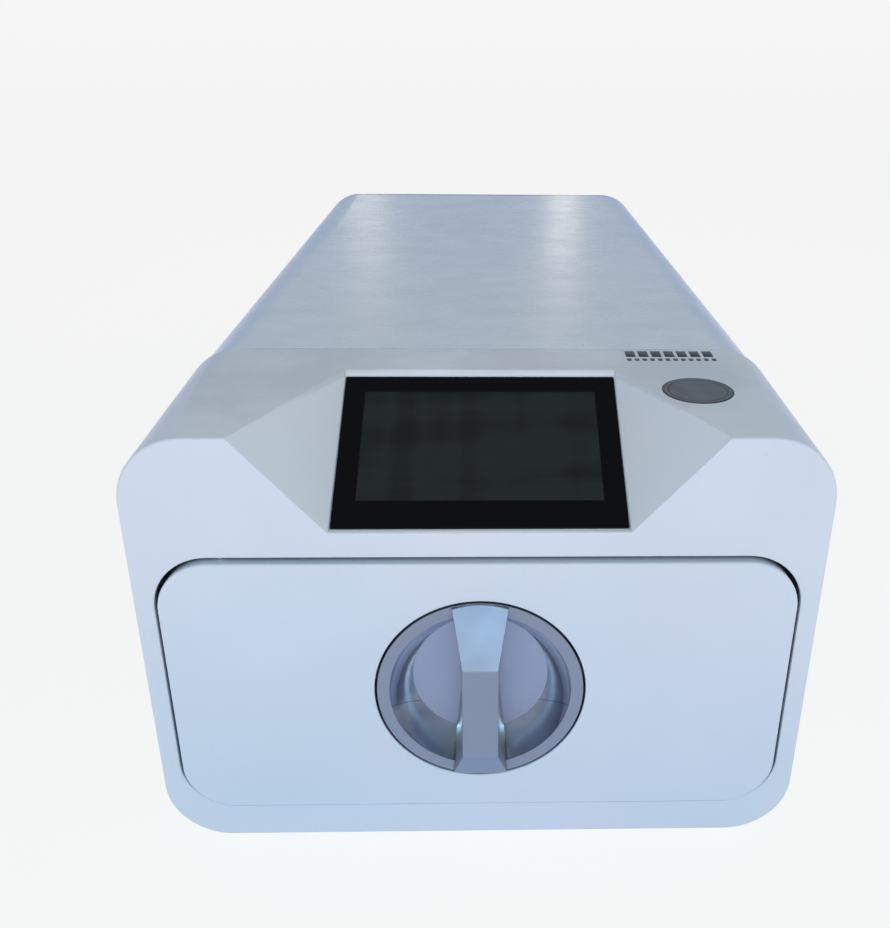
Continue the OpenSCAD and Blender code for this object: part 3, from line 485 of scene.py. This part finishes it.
def display_glass(name):
    """Black-printed cover glass; in its window the dark panel carries painted reflections, soft
    vertical streaks and a dark band, and soft horizontal bands of lighter and darker tone.
    """
    border, panel, dark = (0.0014, 0.0022, 0.0048), (0.0245, 0.028, 0.029), (0.004, 0.006, 0.0065)
    half, blend = WINDOW_W / 2 * MM, 0.0002
    # The painted dark reflection band: its centre in x, then where its fading edge starts and
    # stops.
    reflection_band_x, reflection_band_in, reflection_band_out = -0.049, 0.004, 0.011
    low, high = glass_point(0, WINDOW_LOW, 0).z, glass_point(0, WINDOW_LOW + WINDOW_H, 0).z
    p = Paint(name, border, 0.05, IOR=1.5, Specular_IOR_Level=0.3)
    x, _, z = p.axes()
    inside_x = p.span(p.math("ABSOLUTE", x), half, half + blend, 1.0, 0.0)
    above = p.span(z, low, low + blend, 0.0, 1.0)
    below = p.span(z, high - blend, high, 1.0, 0.0)
    window = p.math("MULTIPLY", inside_x, p.math("MULTIPLY", above, below))
    # Painted reflections: soft vertical streaks and a dark band near x = -49 mm darken the panel
    # colour in the window.
    streaks = p.span(p.noise(11.0, 2.0, (3.2, 0.35, 0.35)), 0.4, 0.6, 0.7, 1.1)
    # Soft horizontal bands of lighter and darker tone.
    soft_bands = p.span(p.noise(13.0, 3.0, (0.5, 3.0, 3.0)), 0.38, 0.62, 0.6, 1.2)
    off_reflection_band = p.math("ABSOLUTE", p.math("SUBTRACT", x, reflection_band_x))
    band = p.span(off_reflection_band, reflection_band_in, reflection_band_out, 0.6, 1.0)
    seen = p.math("MULTIPLY", p.math("MULTIPLY", streaks, soft_bands), band)
    p.link(p.mix(window, border, p.mix(seen, dark, panel)), "Base Color")
    p.vary_roughness(p.noise(40.0, 5.0), 0.03, 0.08)
    return p.material


def unlit_panel(name):
    p = Paint(name, (0.02, 0.023, 0.024), 0.35)
    p.vary_color(p.noise(50.0, 2.0), (0.016, 0.018, 0.019), (0.024, 0.027, 0.028))
    return p.material


def circuit_board(name, color):
    """Solder mask over a faint pattern of tracks."""
    p = Paint(name, color, 0.3, Coat_Weight=0.4)
    tracks = p.cells(420.0, "Distance", "DISTANCE_TO_EDGE")
    p.vary_color(p.span(tracks, 0.02, 0.12, 0.0, 1.0), shade(color, 1.7), color)
    p.vary_roughness(p.noise(80.0, 3.0), 0.22, 0.4)
    return p.material


def glass_felt(name, color):
    p = Paint(name, color, 0.95, Sheen_Weight=0.3)
    fibres = p.noise(260.0, 6.0, (1.0, 0.3, 1.0), 0.7)
    p.vary_color(fibres, shade(color, 0.75), shade(color, 1.12))
    p.bump(fibres, 0.0008, 0.9)
    return p.material


def finned_metal(name, color):
    p = Paint(name, color, 0.35, 0.9)
    ripple = p.noise(260.0, 3.0, (1.0, 0.2, 0.2))
    p.vary_color(ripple, shade(color, 0.85), shade(color, 1.05))
    p.bump(ripple, 0.00006, 0.6)
    return p.material


def tank_plastic(name, color):
    """Cloudy polyethylene."""
    p = Paint(name, color, 0.45, Subsurface_Weight=0.3, IOR=1.5)
    p.set("Subsurface Radius", (0.004, 0.005, 0.006))
    p.vary_color(p.noise(14.0, 4.0), shade(color, 0.93), shade(color, 1.03))
    p.vary_roughness(p.noise(40.0, 4.0), 0.38, 0.55)
    p.bump(p.noise(500.0, 2.0), 0.00006, 0.4)
    return p.material


def sticker_print(name, color):
    p = Paint(name, color, 0.4, IOR=1.48)
    p.vary_color(p.noise(220.0, 4.0), shade(color, 0.82), shade(color, 1.15))
    p.vary_roughness(p.noise(60.0, 4.0), 0.32, 0.5)
    return p.material


def stage_floor(name):
    """The plain pale floor and backdrop, lifted so that it stays near white."""
    glow, strength = (0.985, 1.0, 0.995, 1), 0.80
    p = Paint(name, (0.24, 0.215, 0.19), 0.9)
    p.set("Specular IOR Level", 0.0)
    p.set("Emission Color", glow)
    p.set("Emission Strength", strength)
    p.material.cycles.emission_sampling = "NONE"
    return p.material


FRONT_TINT = (0.76, 0.795, 0.83)
# A brighter copy of the front's tint: a painted highlight on the display's ledge and riser.
RECESS_HIGHLIGHT_TINT = (0.93, 0.95, 0.96)
DOOR_TINT = (0.735, 0.78, 0.825)
COVER_TINT = (0.665, 0.72, 0.775)
KNOB_TINT = (0.30, 0.335, 0.415)
DISC_TINT = (0.365, 0.42, 0.56)

BY_SLOT = {
    "front_moulding": moulded_plastic("moulded front", FRONT_TINT),
    "door_panel": moulded_plastic("moulded door", DOOR_TINT),
    "cover_paint": painted_sheet("painted cover", COVER_TINT),
    "plated_sheet": zinc_sheet("zinc sheet", (0.62, 0.63, 0.65)),
    "screw_steel": brushed_metal("screw steel", (0.60, 0.60, 0.62), 0.28, (8.0, 8.0, 8.0)),
    "foot_rubber": rubber("foot rubber", (0.022, 0.022, 0.024)),
    "display_glass": display_glass("display glass"),
    "lcd": unlit_panel("unlit panel"),
    "circuit_board": circuit_board("circuit board", (0.015, 0.12, 0.045)),
    "machined_steel": brushed_metal("machined steel", (0.55, 0.56, 0.58), 0.3),
    "stainless": brushed_metal("stainless", (0.62, 0.63, 0.64), 0.26, (1.0, 18.0, 18.0)),
    "knob_chrome": chrome_bowl("polished bowl", (0.88, 0.90, 0.93)),
    "knob_satin": satin_metal("satin knob", KNOB_TINT),
    "brass": brushed_metal("turned brass", (0.72, 0.52, 0.24), 0.3, (12.0, 12.0, 12.0)),
    "gasket_silicone": rubber("gasket silicone", (0.72, 0.71, 0.67)),
    "filter_plastic": matte_plastic("filter plastic", (0.76, 0.76, 0.74)),
    "solenoid_blue": matte_plastic("solenoid coil", (0.03, 0.09, 0.30)),
    "heater_mica": brushed_metal("heater band", (0.5, 0.36, 0.2), 0.4),
    "insulation_felt": glass_felt("insulation felt", (0.70, 0.65, 0.50)),
    "copper_pipe": brushed_metal("copper pipe", (0.72, 0.36, 0.22), 0.3, (10.0, 10.0, 10.0)),
    "pump_casting": cast_metal("pump casting", (0.20, 0.21, 0.22)),
    "tank_plastic": tank_plastic("tank plastic", (0.78, 0.82, 0.84)),
    "fin_aluminium": finned_metal("cooling fins", (0.68, 0.69, 0.70)),
    "black_plastic": matte_plastic("black plastic", (0.018, 0.018, 0.020)),
}


def dress(piece, *materials):
    for material in materials:
        piece.data.materials.append(material)


def dress_frame():
    """Gives every CAD node its slot's material."""
    for part in RECORD["subparts"]:
        node = frame["nodes"][part["node"]]
        node.data.materials.clear()
        dress(node, BY_SLOT[part["material_slot"]])


# ---- front moulding ----

def top_height(y):
    """Height of the moulding's top at a depth, between the front edge and the seam."""
    front_y, front_z = FACE_H * math.sin(LEAN), FACE_H * math.cos(LEAN)
    return front_z + (SEAM_H - front_z) * (y - front_y) / (SEAM_Y - front_y)


def riser_top(x, up):
    """The point of the moulding's top straight above a height along the glass."""
    foot_y = (glass_point(x, up, 0) - BODY_ORIGIN).y / MM
    return body_point(x, foot_y, top_height(foot_y))


def face_outline():
    """The right half of the face's outline, up to the end of its top corner."""
    return half_outline(BODY_W, 0, FACE_H, FACE_R, FACE_R)[:-1]


def seam_outline():
    return half_outline(SEAM_W, 0, SEAM_H, FACE_R, FACE_R)


def seam_point(side, p):
    return body_point(side * p[0], SEAM_Y, p[1])


def moulding_side(shell, side):
    """One half of the face, its outer wall, the door opening's edge and the display's facet."""
    seam_return, flange = 2.5, 4.0
    outer, seam = face_outline(), seam_outline()
    back = inset(SEAM_W, 0, SEAM_H, FACE_R, FACE_R, seam_return)
    hole = half_outline(OPEN_W, OPEN_LOW, OPEN_HIGH, OPEN_R, OPEN_R)
    face = lambda p, out=0.0: face_point(side * p[0], out, p[1])
    tip, ledge = face((TIP_X, FACE_H)), face((POCKET_X, LEDGE_U))
    riser = riser_top(side * POCKET_X, POCKET_HIGH)
    floor_low = glass_point(side * POCKET_X, POCKET_LOW, -POCKET_DEPTH)
    floor_high = glass_point(side * POCKET_X, POCKET_HIGH, -POCKET_DEPTH)
    rim_low = glass_point(side * POCKET_X, POCKET_LOW, 0)
    ring = [face(p) for p in outer] + [tip, ledge, face((0, LEDGE_U))]
    shell.face(ring + [face(p) for p in reversed(hole)])
    shell.strip([face(p) for p in outer], [seam_point(side, p) for p in seam[:-1]])
    shell.strip([seam_point(side, p) for p in seam], [seam_point(side, p) for p in back])
    shell.strip([face(p) for p in hole], [face(p, -flange) for p in hole])
    shell.face([tip, riser, ledge])
    shell.face([ledge, riser, floor_high, floor_low, rim_low])
    shell.crease([face(p) for p in outer] + [tip], 1.0)
    shell.crease([seam_point(side, p) for p in seam], 0.12)
    shell.crease([face(p) for p in hole], 0.4)
    shell.crease([riser, tip, ledge], 0.3)
    shell.crease([ledge, riser], 0.3)


def moulding_middle(shell):
    """The top between the two halves, and the display's ledge, pocket and riser."""
    outer, seam = face_outline(), seam_outline()
    both = lambda make: (make(1), make(-1))
    tips = both(lambda s: face_point(s * TIP_X, 0, FACE_H))
    arcs = both(lambda s: face_point(s * outer[-1][0], 0, outer[-1][1]))
    risers = both(lambda s: riser_top(s * POCKET_X, POCKET_HIGH))
    ends = both(lambda s: seam_point(s, seam[-2]))
    rims = both(lambda s: glass_point(s * POCKET_X, POCKET_LOW, 0))
    lows = both(lambda s: glass_point(s * POCKET_X, POCKET_LOW, -POCKET_DEPTH))
    highs = both(lambda s: glass_point(s * POCKET_X, POCKET_HIGH, -POCKET_DEPTH))
    ledges = both(lambda s: face_point(s * POCKET_X, 0, LEDGE_U))
    ledge_row = [ledges[0], face_point(0, 0, LEDGE_U), ledges[1]]
    shell.face([arcs[0], tips[0], risers[0], risers[1], tips[1], arcs[1], ends[1],
                seam_point(1, seam[-1]), ends[0]])
    # Material 1, a brighter copy of the moulding, puts a painted highlight on the ledge and the
    # riser.
    shell.face(ledge_row + [rims[1], rims[0]], 1)
    shell.face([rims[0], rims[1], lows[1], lows[0]])
    shell.face([lows[0], lows[1], highs[1], highs[0]])
    shell.face([highs[0], highs[1], risers[1], risers[0]], 1)
    shell.crease(ledge_row, 0.3)
    shell.crease(risers, 0.3)


def front_moulding():
    """The moulded front: leaning face, door opening, display recess and its facets."""
    edge_r, wall = 1.6, 2.2
    shell = Shell()
    moulding_side(shell, 1)
    moulding_side(shell, -1)
    moulding_middle(shell)
    piece = shell.make("front_moulding", "chassis", "front_moulding", -KNOB_AXIS)
    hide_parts("front_bezel")
    # The second material is the brighter copy of the plastic: a painted highlight for the ledge and
    # riser.
    dress(piece, BY_SLOT["front_moulding"], moulded_plastic("brightened recess rim", RECESS_HIGHLIGHT_TINT))
    round_edges(piece, edge_r)
    thicken(piece, wall)
    even_normals(piece)


# ---- cover ----

def painted_cover():
    """The long painted cover: one bent sheet, open underneath, with its cut edges showing."""
    shell = Shell()
    lip_x, front_y, rear_y, fold = 168.0, SEAM_Y + 0.12, BODY_LEN, 3.6
    edge_r, sections = 1.6, 26
    half = half_outline(COVER_W, 0, COVER_H, FACE_R, COVER_R)
    half[0] = (lip_x, 0.0)
    path = half + [(-x, z) for x, z in reversed(half[:-1])]
    rows = []
    for i in range(sections + 1):
        y = front_y + (rear_y - front_y) * i / sections
        rows.append([body_point(x, y, z) for x, z in path])
    for a, b in zip(rows, rows[1:]):
        shell.strip(a, b)
    folded = inset(COVER_W, 0, COVER_H, FACE_R, COVER_R, fold)
    folded[0] = (lip_x, fold)
    folded += [(-x, z) for x, z in reversed(folded[:-1])]
    for row, y, weight in ((rows[0], front_y, 0.3), (rows[-1], rear_y, 1.0)):
        shell.strip(row, [body_point(x, y, z) for x, z in folded])
        shell.crease(row, weight)
    piece = shell.make("painted_cover", "chassis", "cover_paint", (0, 0, -1))
    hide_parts("outer_cover")
    dress(piece, BY_SLOT["cover_paint"])
    round_edges(piece, edge_r)
    thicken(piece, SHEET_T)
    even_normals(piece)


# ---- display ----

def glass_plate():
    """The touch glass, lying a little below the rim of its pocket."""
    shell = Shell()
    corner_r, sunk, edge_r = 1.5, 0.15, 0.3
    outline = mirrored(half_outline(GLASS_W, 0, GLASS_H, corner_r, corner_r))
    top = [glass_point(x, up, -sunk) for x, up in outline]
    low = [glass_point(x, up, -sunk - GLASS_T) for x, up in outline]
    shell.face(top)
    shell.face(list(reversed(low)))
    shell.strip(top, low, closed=True)
    shell.crease(top, 1.0, closed=True)
    normal = glass_point(0, 0, 1) - glass_point(0, 0, 0)
    piece = shell.make("cover_glass", "chassis", "display_glass", normal)
    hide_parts("touch_glass")
    dress(piece, BY_SLOT["display_glass"])
    round_edges(piece, edge_r, 2)
    even_normals(piece)


# ---- door ----

def door_panel():
    """The door's moulded cover, with its raised face, deep rim and the hole for the knob."""
    shell = Shell()
    low, high = OPEN_LOW + GAP, OPEN_HIGH - GAP
    half = half_outline(OPEN_W - 2 * GAP, low, high, OPEN_R - GAP, OPEN_R - GAP)
    hole_r, steps, bore, edge_r, wall = KNOB_R + 1.6, 48, 3.0, 1.3, 2.8
    turns = [math.pi * i / steps for i in range(steps + 1)]
    hole = [(hole_r * math.sin(a), KNOB_U - hole_r * math.cos(a)) for a in turns]
    for side in (1, -1):
        at = lambda p, out=PROUD: face_point(side * p[0], out, p[1])
        shell.face([at(p) for p in half] + [at(p) for p in reversed(hole)])
        shell.strip([at(p) for p in half], [at(p, -DOOR_DEPTH) for p in half])
        shell.strip([at(p) for p in hole], [at(p, PROUD - bore) for p in hole])
        shell.crease([at(p) for p in half], 1.0)
        shell.crease([at(p) for p in hole], 0.45)
    piece = shell.make("door_panel", "door", "door_panel", -KNOB_AXIS)
    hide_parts("door_cover")
    dress(piece, BY_SLOT["door_panel"])
    round_edges(piece, edge_r)
    thicken(piece, wall)
    even_normals(piece)


# ---- knob ----

def bowl_profile():
    """The bowl's wall as (radius, out), from the ring to the floor."""
    steps, lip, slope_low = 20, 0.6, math.radians(31)
    across, deep = RING_R - FLOOR_R, BOWL_DEPTH - lip
    slope_high = 2 * math.atan2(deep, across) - slope_low
    arc_r = across / (math.sin(slope_high) - math.sin(slope_low))
    slopes = [slope_high + (slope_low - slope_high) * i / steps for i in range(steps + 1)]
    return [
        (FLOOR_R + arc_r * (math.sin(s) - math.sin(slope_low)),
         PROUD - BOWL_DEPTH + arc_r * (math.cos(slope_low) - math.cos(s)))
        for s in slopes
    ]


def knob_dish():
    """The satin ring and the polished bowl inside it, turned as one piece."""
    shell = Shell()
    wall, skin, back, edge_r = bowl_profile(), 1.6, -6.0, 0.35
    floor = PROUD - BOWL_DEPTH
    inner = [(RING_R, PROUD)] + wall
    outer = [(FLOOR_R, floor - skin), (FLOOR_R + skin, floor - skin)]
    outer += [(r + skin, out - skin * 0.4) for r, out in reversed(wall[2:-2])]
    outer += [(KNOB_R - 2, 0.0), (KNOB_R - 2, back), (KNOB_R, back), (KNOB_R, PROUD)]
    profile = inner + outer
    rings = [circle(r, out) for r, out in profile]
    for i, ring in enumerate(rings):
        paint = 0 if 0 < i < len(inner) - 1 else 1
        shell.strip(ring, rings[(i + 1) % len(rings)], paint, closed=True)
    shell.crease(rings[0], 1.0, closed=True)
    shell.crease(rings[-1], 1.0, closed=True)
    piece = shell.make("knob_dish", "knob", "knob_chrome")
    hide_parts("knob_bowl")
    dress(piece, BY_SLOT["knob_chrome"], BY_SLOT["knob_satin"])
    round_edges(piece, edge_r, 2)
    even_normals(piece)


def knob_disc():
    """The flat satin disc at the bottom of the bowl."""
    shell = Shell()
    floor, lift, sink = PROUD - BOWL_DEPTH, 0.35, 1.4
    top, low = circle(FLOOR_R + 0.7, floor + lift), circle(FLOOR_R - 0.1, floor - sink)
    shell.face(top)
    shell.face(list(reversed(low)))
    shell.strip(top, low, closed=True)
    piece = shell.make("knob_disc", "knob", "knob_satin", -KNOB_AXIS)
    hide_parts("knob_floor")
    dress(piece, satin_metal("satin disc", DISC_TINT))
    even_normals(piece)


def bar_crest(u):
    """Half-width and height of the bar's upper edge at a distance from the knob's centre."""
    beyond = max(0.0, abs(u) - BAR_HALF)
    run = BAR_END_U - BAR_HALF
    slope = (BAR_OUT - BAR_END_OUT) / run
    return BAR_W + beyond * (BAR_END_W - BAR_W) / run, BAR_OUT - beyond * slope


def bar_root(u, wall):
    """Half-width and height where the bar's side meets the floor or the bowl's wall."""
    width = BAR_W + (BAR_END_W - BAR_W) * (abs(u) / BAR_END_U) ** BAR_SPLAY
    radius = math.hypot(u, width)
    if radius <= FLOOR_R:
        return width, PROUD - BOWL_DEPTH
    for (r1, o1), (r2, o2) in zip(wall, wall[1:]):
        if r2 <= radius <= r1:
            return width, o2 + (o1 - o2) * (radius - r2) / (r1 - r2) - BAR_SEAT
    return width, BAR_BASE


def bar_stations():
    """Distances from the knob's centre at which the bar has a cross-section."""
    flat_steps, end_steps, run = 4, 16, BAR_END_U - BAR_HALF
    inner = [BAR_HALF * i / flat_steps for i in range(flat_steps + 1)]
    outer = [BAR_HALF + run * i / end_steps for i in range(1, end_steps + 1)]
    positive = inner + outer
    return [-u for u in reversed(positive[1:])] + positive


def bar_end(shell, crests, roots, ids, sign):
    """One sloping end with its curved rim; ids are the stations from the flat to the end."""
    steps = 10
    arc = [BAR_END_W * (1 - 2 * i / steps) for i in range(1, steps)]
    edge = [(x, math.sqrt(BAR_END_R ** 2 - x * x)) for x in arc]
    rim = [knob_point(x, bar_crest(u)[1], sign * u) for x, u in edge]
    low = [knob_point(x, BAR_BASE, sign * u) for x, u in edge]
    shell.face([crests[1][i] for i in ids] + rim + [crests[-1][i] for i in reversed(ids)])
    rim = [crests[1][ids[-1]]] + rim + [crests[-1][ids[-1]]]
    low = [roots[1][ids[-1]]] + low + [roots[-1][ids[-1]]]
    shell.strip(rim, low)
    shell.face(list(reversed(low)))
    shell.crease(rim, 0.7)


def knob_handle():
    """The grip bar: flat front, sloping ends that widen to the ring, sides down to the floor."""
    shell = Shell()
    stations, wall, edge_r = bar_stations(), bowl_profile(), 0.55
    crests, roots = {}, {}
    for side in (1, -1):
        tops = [bar_crest(u) for u in stations]
        feet = [bar_root(u, wall) for u in stations]
        crests[side] = [knob_point(side * x, out, u) for (x, out), u in zip(tops, stations)]
        roots[side] = [knob_point(side * x, out, u) for (x, out), u in zip(feet, stations)]
        shell.strip(crests[side], roots[side])
        shell.crease(crests[side], 1.0)
    span = [i for i, u in enumerate(stations) if abs(u) <= BAR_HALF + 1e-6]
    first, last = span[0], span[-1]
    shell.face([crests[1][i] for i in span] + [crests[-1][i] for i in reversed(span)])
    for i in (first, last):
        shell.crease([crests[1][i], crests[-1][i]], 1.0)
    shell.strip(roots[1], roots[-1])
    bar_end(shell, crests, roots, list(range(last, len(stations))), 1)
    bar_end(shell, crests, roots, list(range(first, -1, -1)), -1)
    piece = shell.make("knob_handle", "knob", "knob_satin")
    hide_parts("knob_grip")
    dress(piece, BY_SLOT["knob_satin"])
    round_edges(piece, edge_r)
    even_normals(piece)


# ---- printed marks on the moulding's top ----

def top_mark_point(x, y, lift):
    """A point just above the moulding's top, y from the front's lower edge."""
    return body_point(x, y, top_height(y) + lift)


def plain_badge():
    """A plain oval sticker: a grey disc with a darker ring and no lettering."""
    badge_x, badge_y, radius, squash, thin, steps = 141.6, 83.0, 23.3, 0.87, 0.12, 72
    shell = Shell()
    radii = [0.0, radius * 0.80, radius * 0.85, radius * 0.94, radius]
    heights = [thin, thin, thin + 0.02, thin + 0.02, thin]

    def ring(r, lift):
        return [
            top_mark_point(badge_x + r * math.cos(a), badge_y + squash * r * math.sin(a), lift)
            for a in (2 * math.pi * i / steps for i in range(steps))
        ]

    rings = [ring(r, h) for r, h in zip(radii[1:], heights[1:])]
    shell.face(rings[0], 0)
    for k, (a, b) in enumerate(zip(rings, rings[1:])):
        shell.strip(a, b, 0 if k == 1 else 1, closed=True)
    low = ring(radius, 0.02)
    shell.strip(rings[-1], low, 1, closed=True)
    shell.face(list(reversed(low)), 1)
    piece = shell.make("plain_badge", "chassis", "front_moulding", (0, 0, 1))
    dress(piece, sticker_print("badge grey", (0.085, 0.10, 0.125)),
          sticker_print("badge dark", (0.022, 0.027, 0.035)))


def plain_dashes():
    """Two rows of plain printed dashes beside the seam."""
    grey = sticker_print("dash print", (0.05, 0.06, 0.075))
    lift, sunk = 0.1, 0.02
    rows = (("dashes_wide", 7, 103.4, 168.0, 141.0, 10.5, 0.26),
            ("dashes_thin", 12, 103.2, 168.6, 133.9, 4.0, 0.42))
    for name, count, x0, x1, y0, depth, gap in rows:
        shell = Shell()
        pitch = (x1 - x0) / count
        for i in range(count):
            left, right = x0 + i * pitch, x0 + (i + 1 - gap) * pitch
            corners = [(left, y0), (right, y0), (right, y0 + depth), (left, y0 + depth)]
            top = [top_mark_point(x, y, lift) for x, y in corners]
            low = [top_mark_point(x, y, sunk) for x, y in corners]
            shell.face(top)
            shell.face(list(reversed(low)))
            shell.strip(top, low, closed=True)
        piece = shell.make(name, "chassis", "front_moulding", (0, 0, 1))
        dress(piece, grey)


# ---- stage ----

def sweep_stage():
    """Floor and backdrop in one smooth bowl, the same from every side."""
    floor_r, turn_r, height, steps, around = 3.5, 1.5, 6.0, 24, 96
    path = [(floor_r, 0.0)]
    for i in range(1, steps + 1):
        a = math.pi / 2 * i / steps
        path.append((floor_r + turn_r * math.sin(a), turn_r - turn_r * math.cos(a)))
    path.append((floor_r + turn_r, height))
    turns = [2 * math.pi * k / around for k in range(around)]
    points = [(r * math.cos(t), r * math.sin(t), z) for r, z in path for t in turns]
    faces = [tuple(range(around))]
    for i in range(len(path) - 1):
        for k in range(around):
            a, b = i * around + k, i * around + (k + 1) % around
            faces.append((a, a + around, b + around, b))
    mesh = bpy.data.meshes.new("stage_sweep")
    mesh.from_pydata(points, [], faces)
    mesh.shade_smooth()
    sweep = bpy.data.objects.new("stage_sweep", mesh)
    bpy.context.scene.collection.objects.link(sweep)
    mesh.materials.append(stage_floor("pale stage"))
    sweep.visible_diffuse = False
    sweep.visible_glossy = False
    sweep.visible_shadow = False


def area_light(name, at, target, width, height, power, color):
    """A rectangular lamp at a place, facing a target; it does not show itself."""
    data = bpy.data.lights.new(name, "AREA")
    data.shape = "RECTANGLE"
    data.size, data.size_y = width, height
    data.energy = power
    data.color = color
    light = bpy.data.objects.new(name, data)
    bpy.context.scene.collection.objects.link(light)
    light.location = at
    light.visible_camera = False
    light.rotation_euler = (Vector(target) - Vector(at)).to_track_quat("-Z", "Y").to_euler()


KEY_BLUE = (0.3, 0.7, 1.0)
SOFT_RED = (1.0, 0.5, 0.5)
PALE_GREEN = (0.9, 1.0, 0.9)
PALE_YELLOW = (0.95, 1.0, 0.8)
PALE_PINK = (1.0, 0.9, 0.95)
CREAM = (1.0, 0.9, 0.75)


def studio_light():
    """A broad cool key from the front, a weak side fill and two strips behind for the streaks."""
    aim, cover_right, cover_left = (0, -0.3, 0.15), (0.05, 0.3, 0.32), (-0.06, 0.3, 0.32)
    area_light("key", (-0.4, -3.3, 2.3), aim, 2.6, 1.0, 21.0, KEY_BLUE)
    area_light("low_key", (-0.6, -3.6, 1.0), aim, 3.0, 1.2, 3.0, SOFT_RED)
    area_light("near_front", (0.0, -1.25, 0.5), (0, -0.42, 0.3), 0.5, 0.3, 1.15, PALE_GREEN)
    area_light("right_fill", (3.2, -0.7, 1.1), aim, 1.8, 1.4, 7.3, PALE_YELLOW)
    area_light("rear_top", (0.0, 1.6, 2.4), (0, 0.1, 0.3), 2.0, 1.2, 4.9, PALE_PINK)
    area_light("right_strip", (0.39, 3.4, 1.0), cover_right, 0.14, 0.6, 0.48, CREAM)
    area_light("left_strip", (-0.55, 3.4, 0.95), cover_left, 0.2, 0.5, 0.36, CREAM)


SKY_FLOOR, SKY_TOP, SKY_BLACK = (0.45, 0.65, 1.0), (0.15, 0.15, 0.1), (0.0, 0.0, 0.0)
FRONT_PALE, FRONT_DARK = (1.0, 1.0, 1.0), (0.2, 0.0, 0.0)
FRONT_MIDDLE, FRONT_HIGH = (0.7, 0.75, 0.95), (0.65, 0.8, 0.85)
BACK_PALE, BACK_BLUE, BACK_GREY = (1.0, 1.0, 1.1), (0.2, 0.35, 0.65), (0.85, 0.85, 0.85)
LEVEL_PALE, LEVEL_LOW, LEVEL_MIDDLE, LEVEL_HIGH = -0.2, 0.08, 0.4, 0.72


def sky_ramp(tree, height, pale, low, middle, high):
    """One side of the room: colours at levels between straight down (-1) and straight up (1)."""
    ramp = tree.nodes.new("ShaderNodeValToRGB")
    tree.links.new(height, ramp.inputs["Fac"])
    stops = ramp.color_ramp.elements
    between = ((LEVEL_PALE, pale), (LEVEL_LOW, low), (LEVEL_MIDDLE, middle), (LEVEL_HIGH, high))
    for level, color in between:
        stops.new((level + 1) / 2).color = (*color, 1)
    stops[0].color = (*SKY_FLOOR, 1)
    stops[len(stops) - 1].color = (*SKY_TOP, 1)
    return ramp.outputs["Color"]


def studio_world():
    """A soft room: one gradient in front of the object and one behind it."""
    world = bpy.data.worlds.new("studio")
    bpy.context.scene.world = world
    world.use_nodes = True
    tree = world.node_tree
    coordinates = tree.nodes.new("ShaderNodeTexCoord")
    split = tree.nodes.new("ShaderNodeSeparateXYZ")
    tree.links.new(coordinates.outputs["Generated"], split.inputs["Vector"])
    fractions = []
    for axis, low, high in (("Z", -1.0, 1.0), ("Y", -0.3, 0.3)):
        made = tree.nodes.new("ShaderNodeMapRange")
        made.inputs["From Min"].default_value = low
        made.inputs["From Max"].default_value = high
        tree.links.new(split.outputs[axis], made.inputs["Value"])
        fractions.append(made.outputs["Result"])
    height, behind = fractions
    blend = tree.nodes.new("ShaderNodeMix")
    blend.data_type = "RGBA"
    tree.links.new(behind, blend.inputs["Factor"])
    colors = [socket for socket in blend.inputs if socket.type == "RGBA"]
    front = sky_ramp(tree, height, FRONT_PALE, FRONT_DARK, FRONT_MIDDLE, FRONT_HIGH)
    back = sky_ramp(tree, height, BACK_PALE, BACK_BLUE, BACK_GREY, SKY_BLACK)
    tree.links.new(front, colors[0])
    tree.links.new(back, colors[1])
    mixed = next(socket for socket in blend.outputs if socket.type == "RGBA")
    tree.links.new(mixed, tree.nodes["Background"].inputs["Color"])


def camera():
    """The camera at the photograph's viewing angle."""
    place = (0.00106, -0.85056, 0.5301)
    pitch, yaw, roll = math.radians(24.9), math.radians(1.5), math.radians(0.6)
    forward = Vector((math.sin(yaw) * math.cos(pitch), math.cos(yaw) * math.cos(pitch),
                      -math.sin(pitch)))
    right = Vector((math.cos(yaw), -math.sin(yaw), 0))
    up = right.cross(forward)
    level = math.cos(roll) * right + math.sin(roll) * up
    upright = -math.sin(roll) * right + math.cos(roll) * up
    turn = Matrix((level, upright, -forward)).transposed()
    data = bpy.data.cameras.new("view")
    data.lens, data.sensor_width, data.sensor_fit = 34.0, 36.0, "AUTO"
    data.shift_x, data.shift_y = -0.0622, -0.0307
    eye = bpy.data.objects.new("view", data)
    bpy.context.scene.collection.objects.link(eye)
    eye.matrix_world = Matrix.Translation(place) @ turn.to_4x4()
    bpy.context.scene.camera = eye


# ---- build ----

dress_frame()
front_moulding()
painted_cover()
glass_plate()
door_panel()
knob_dish()
knob_disc()
knob_handle()
plain_badge()
plain_dashes()
sweep_stage()
studio_light()
studio_world()
camera()
bpy.context.scene.view_settings.view_transform = "Standard"
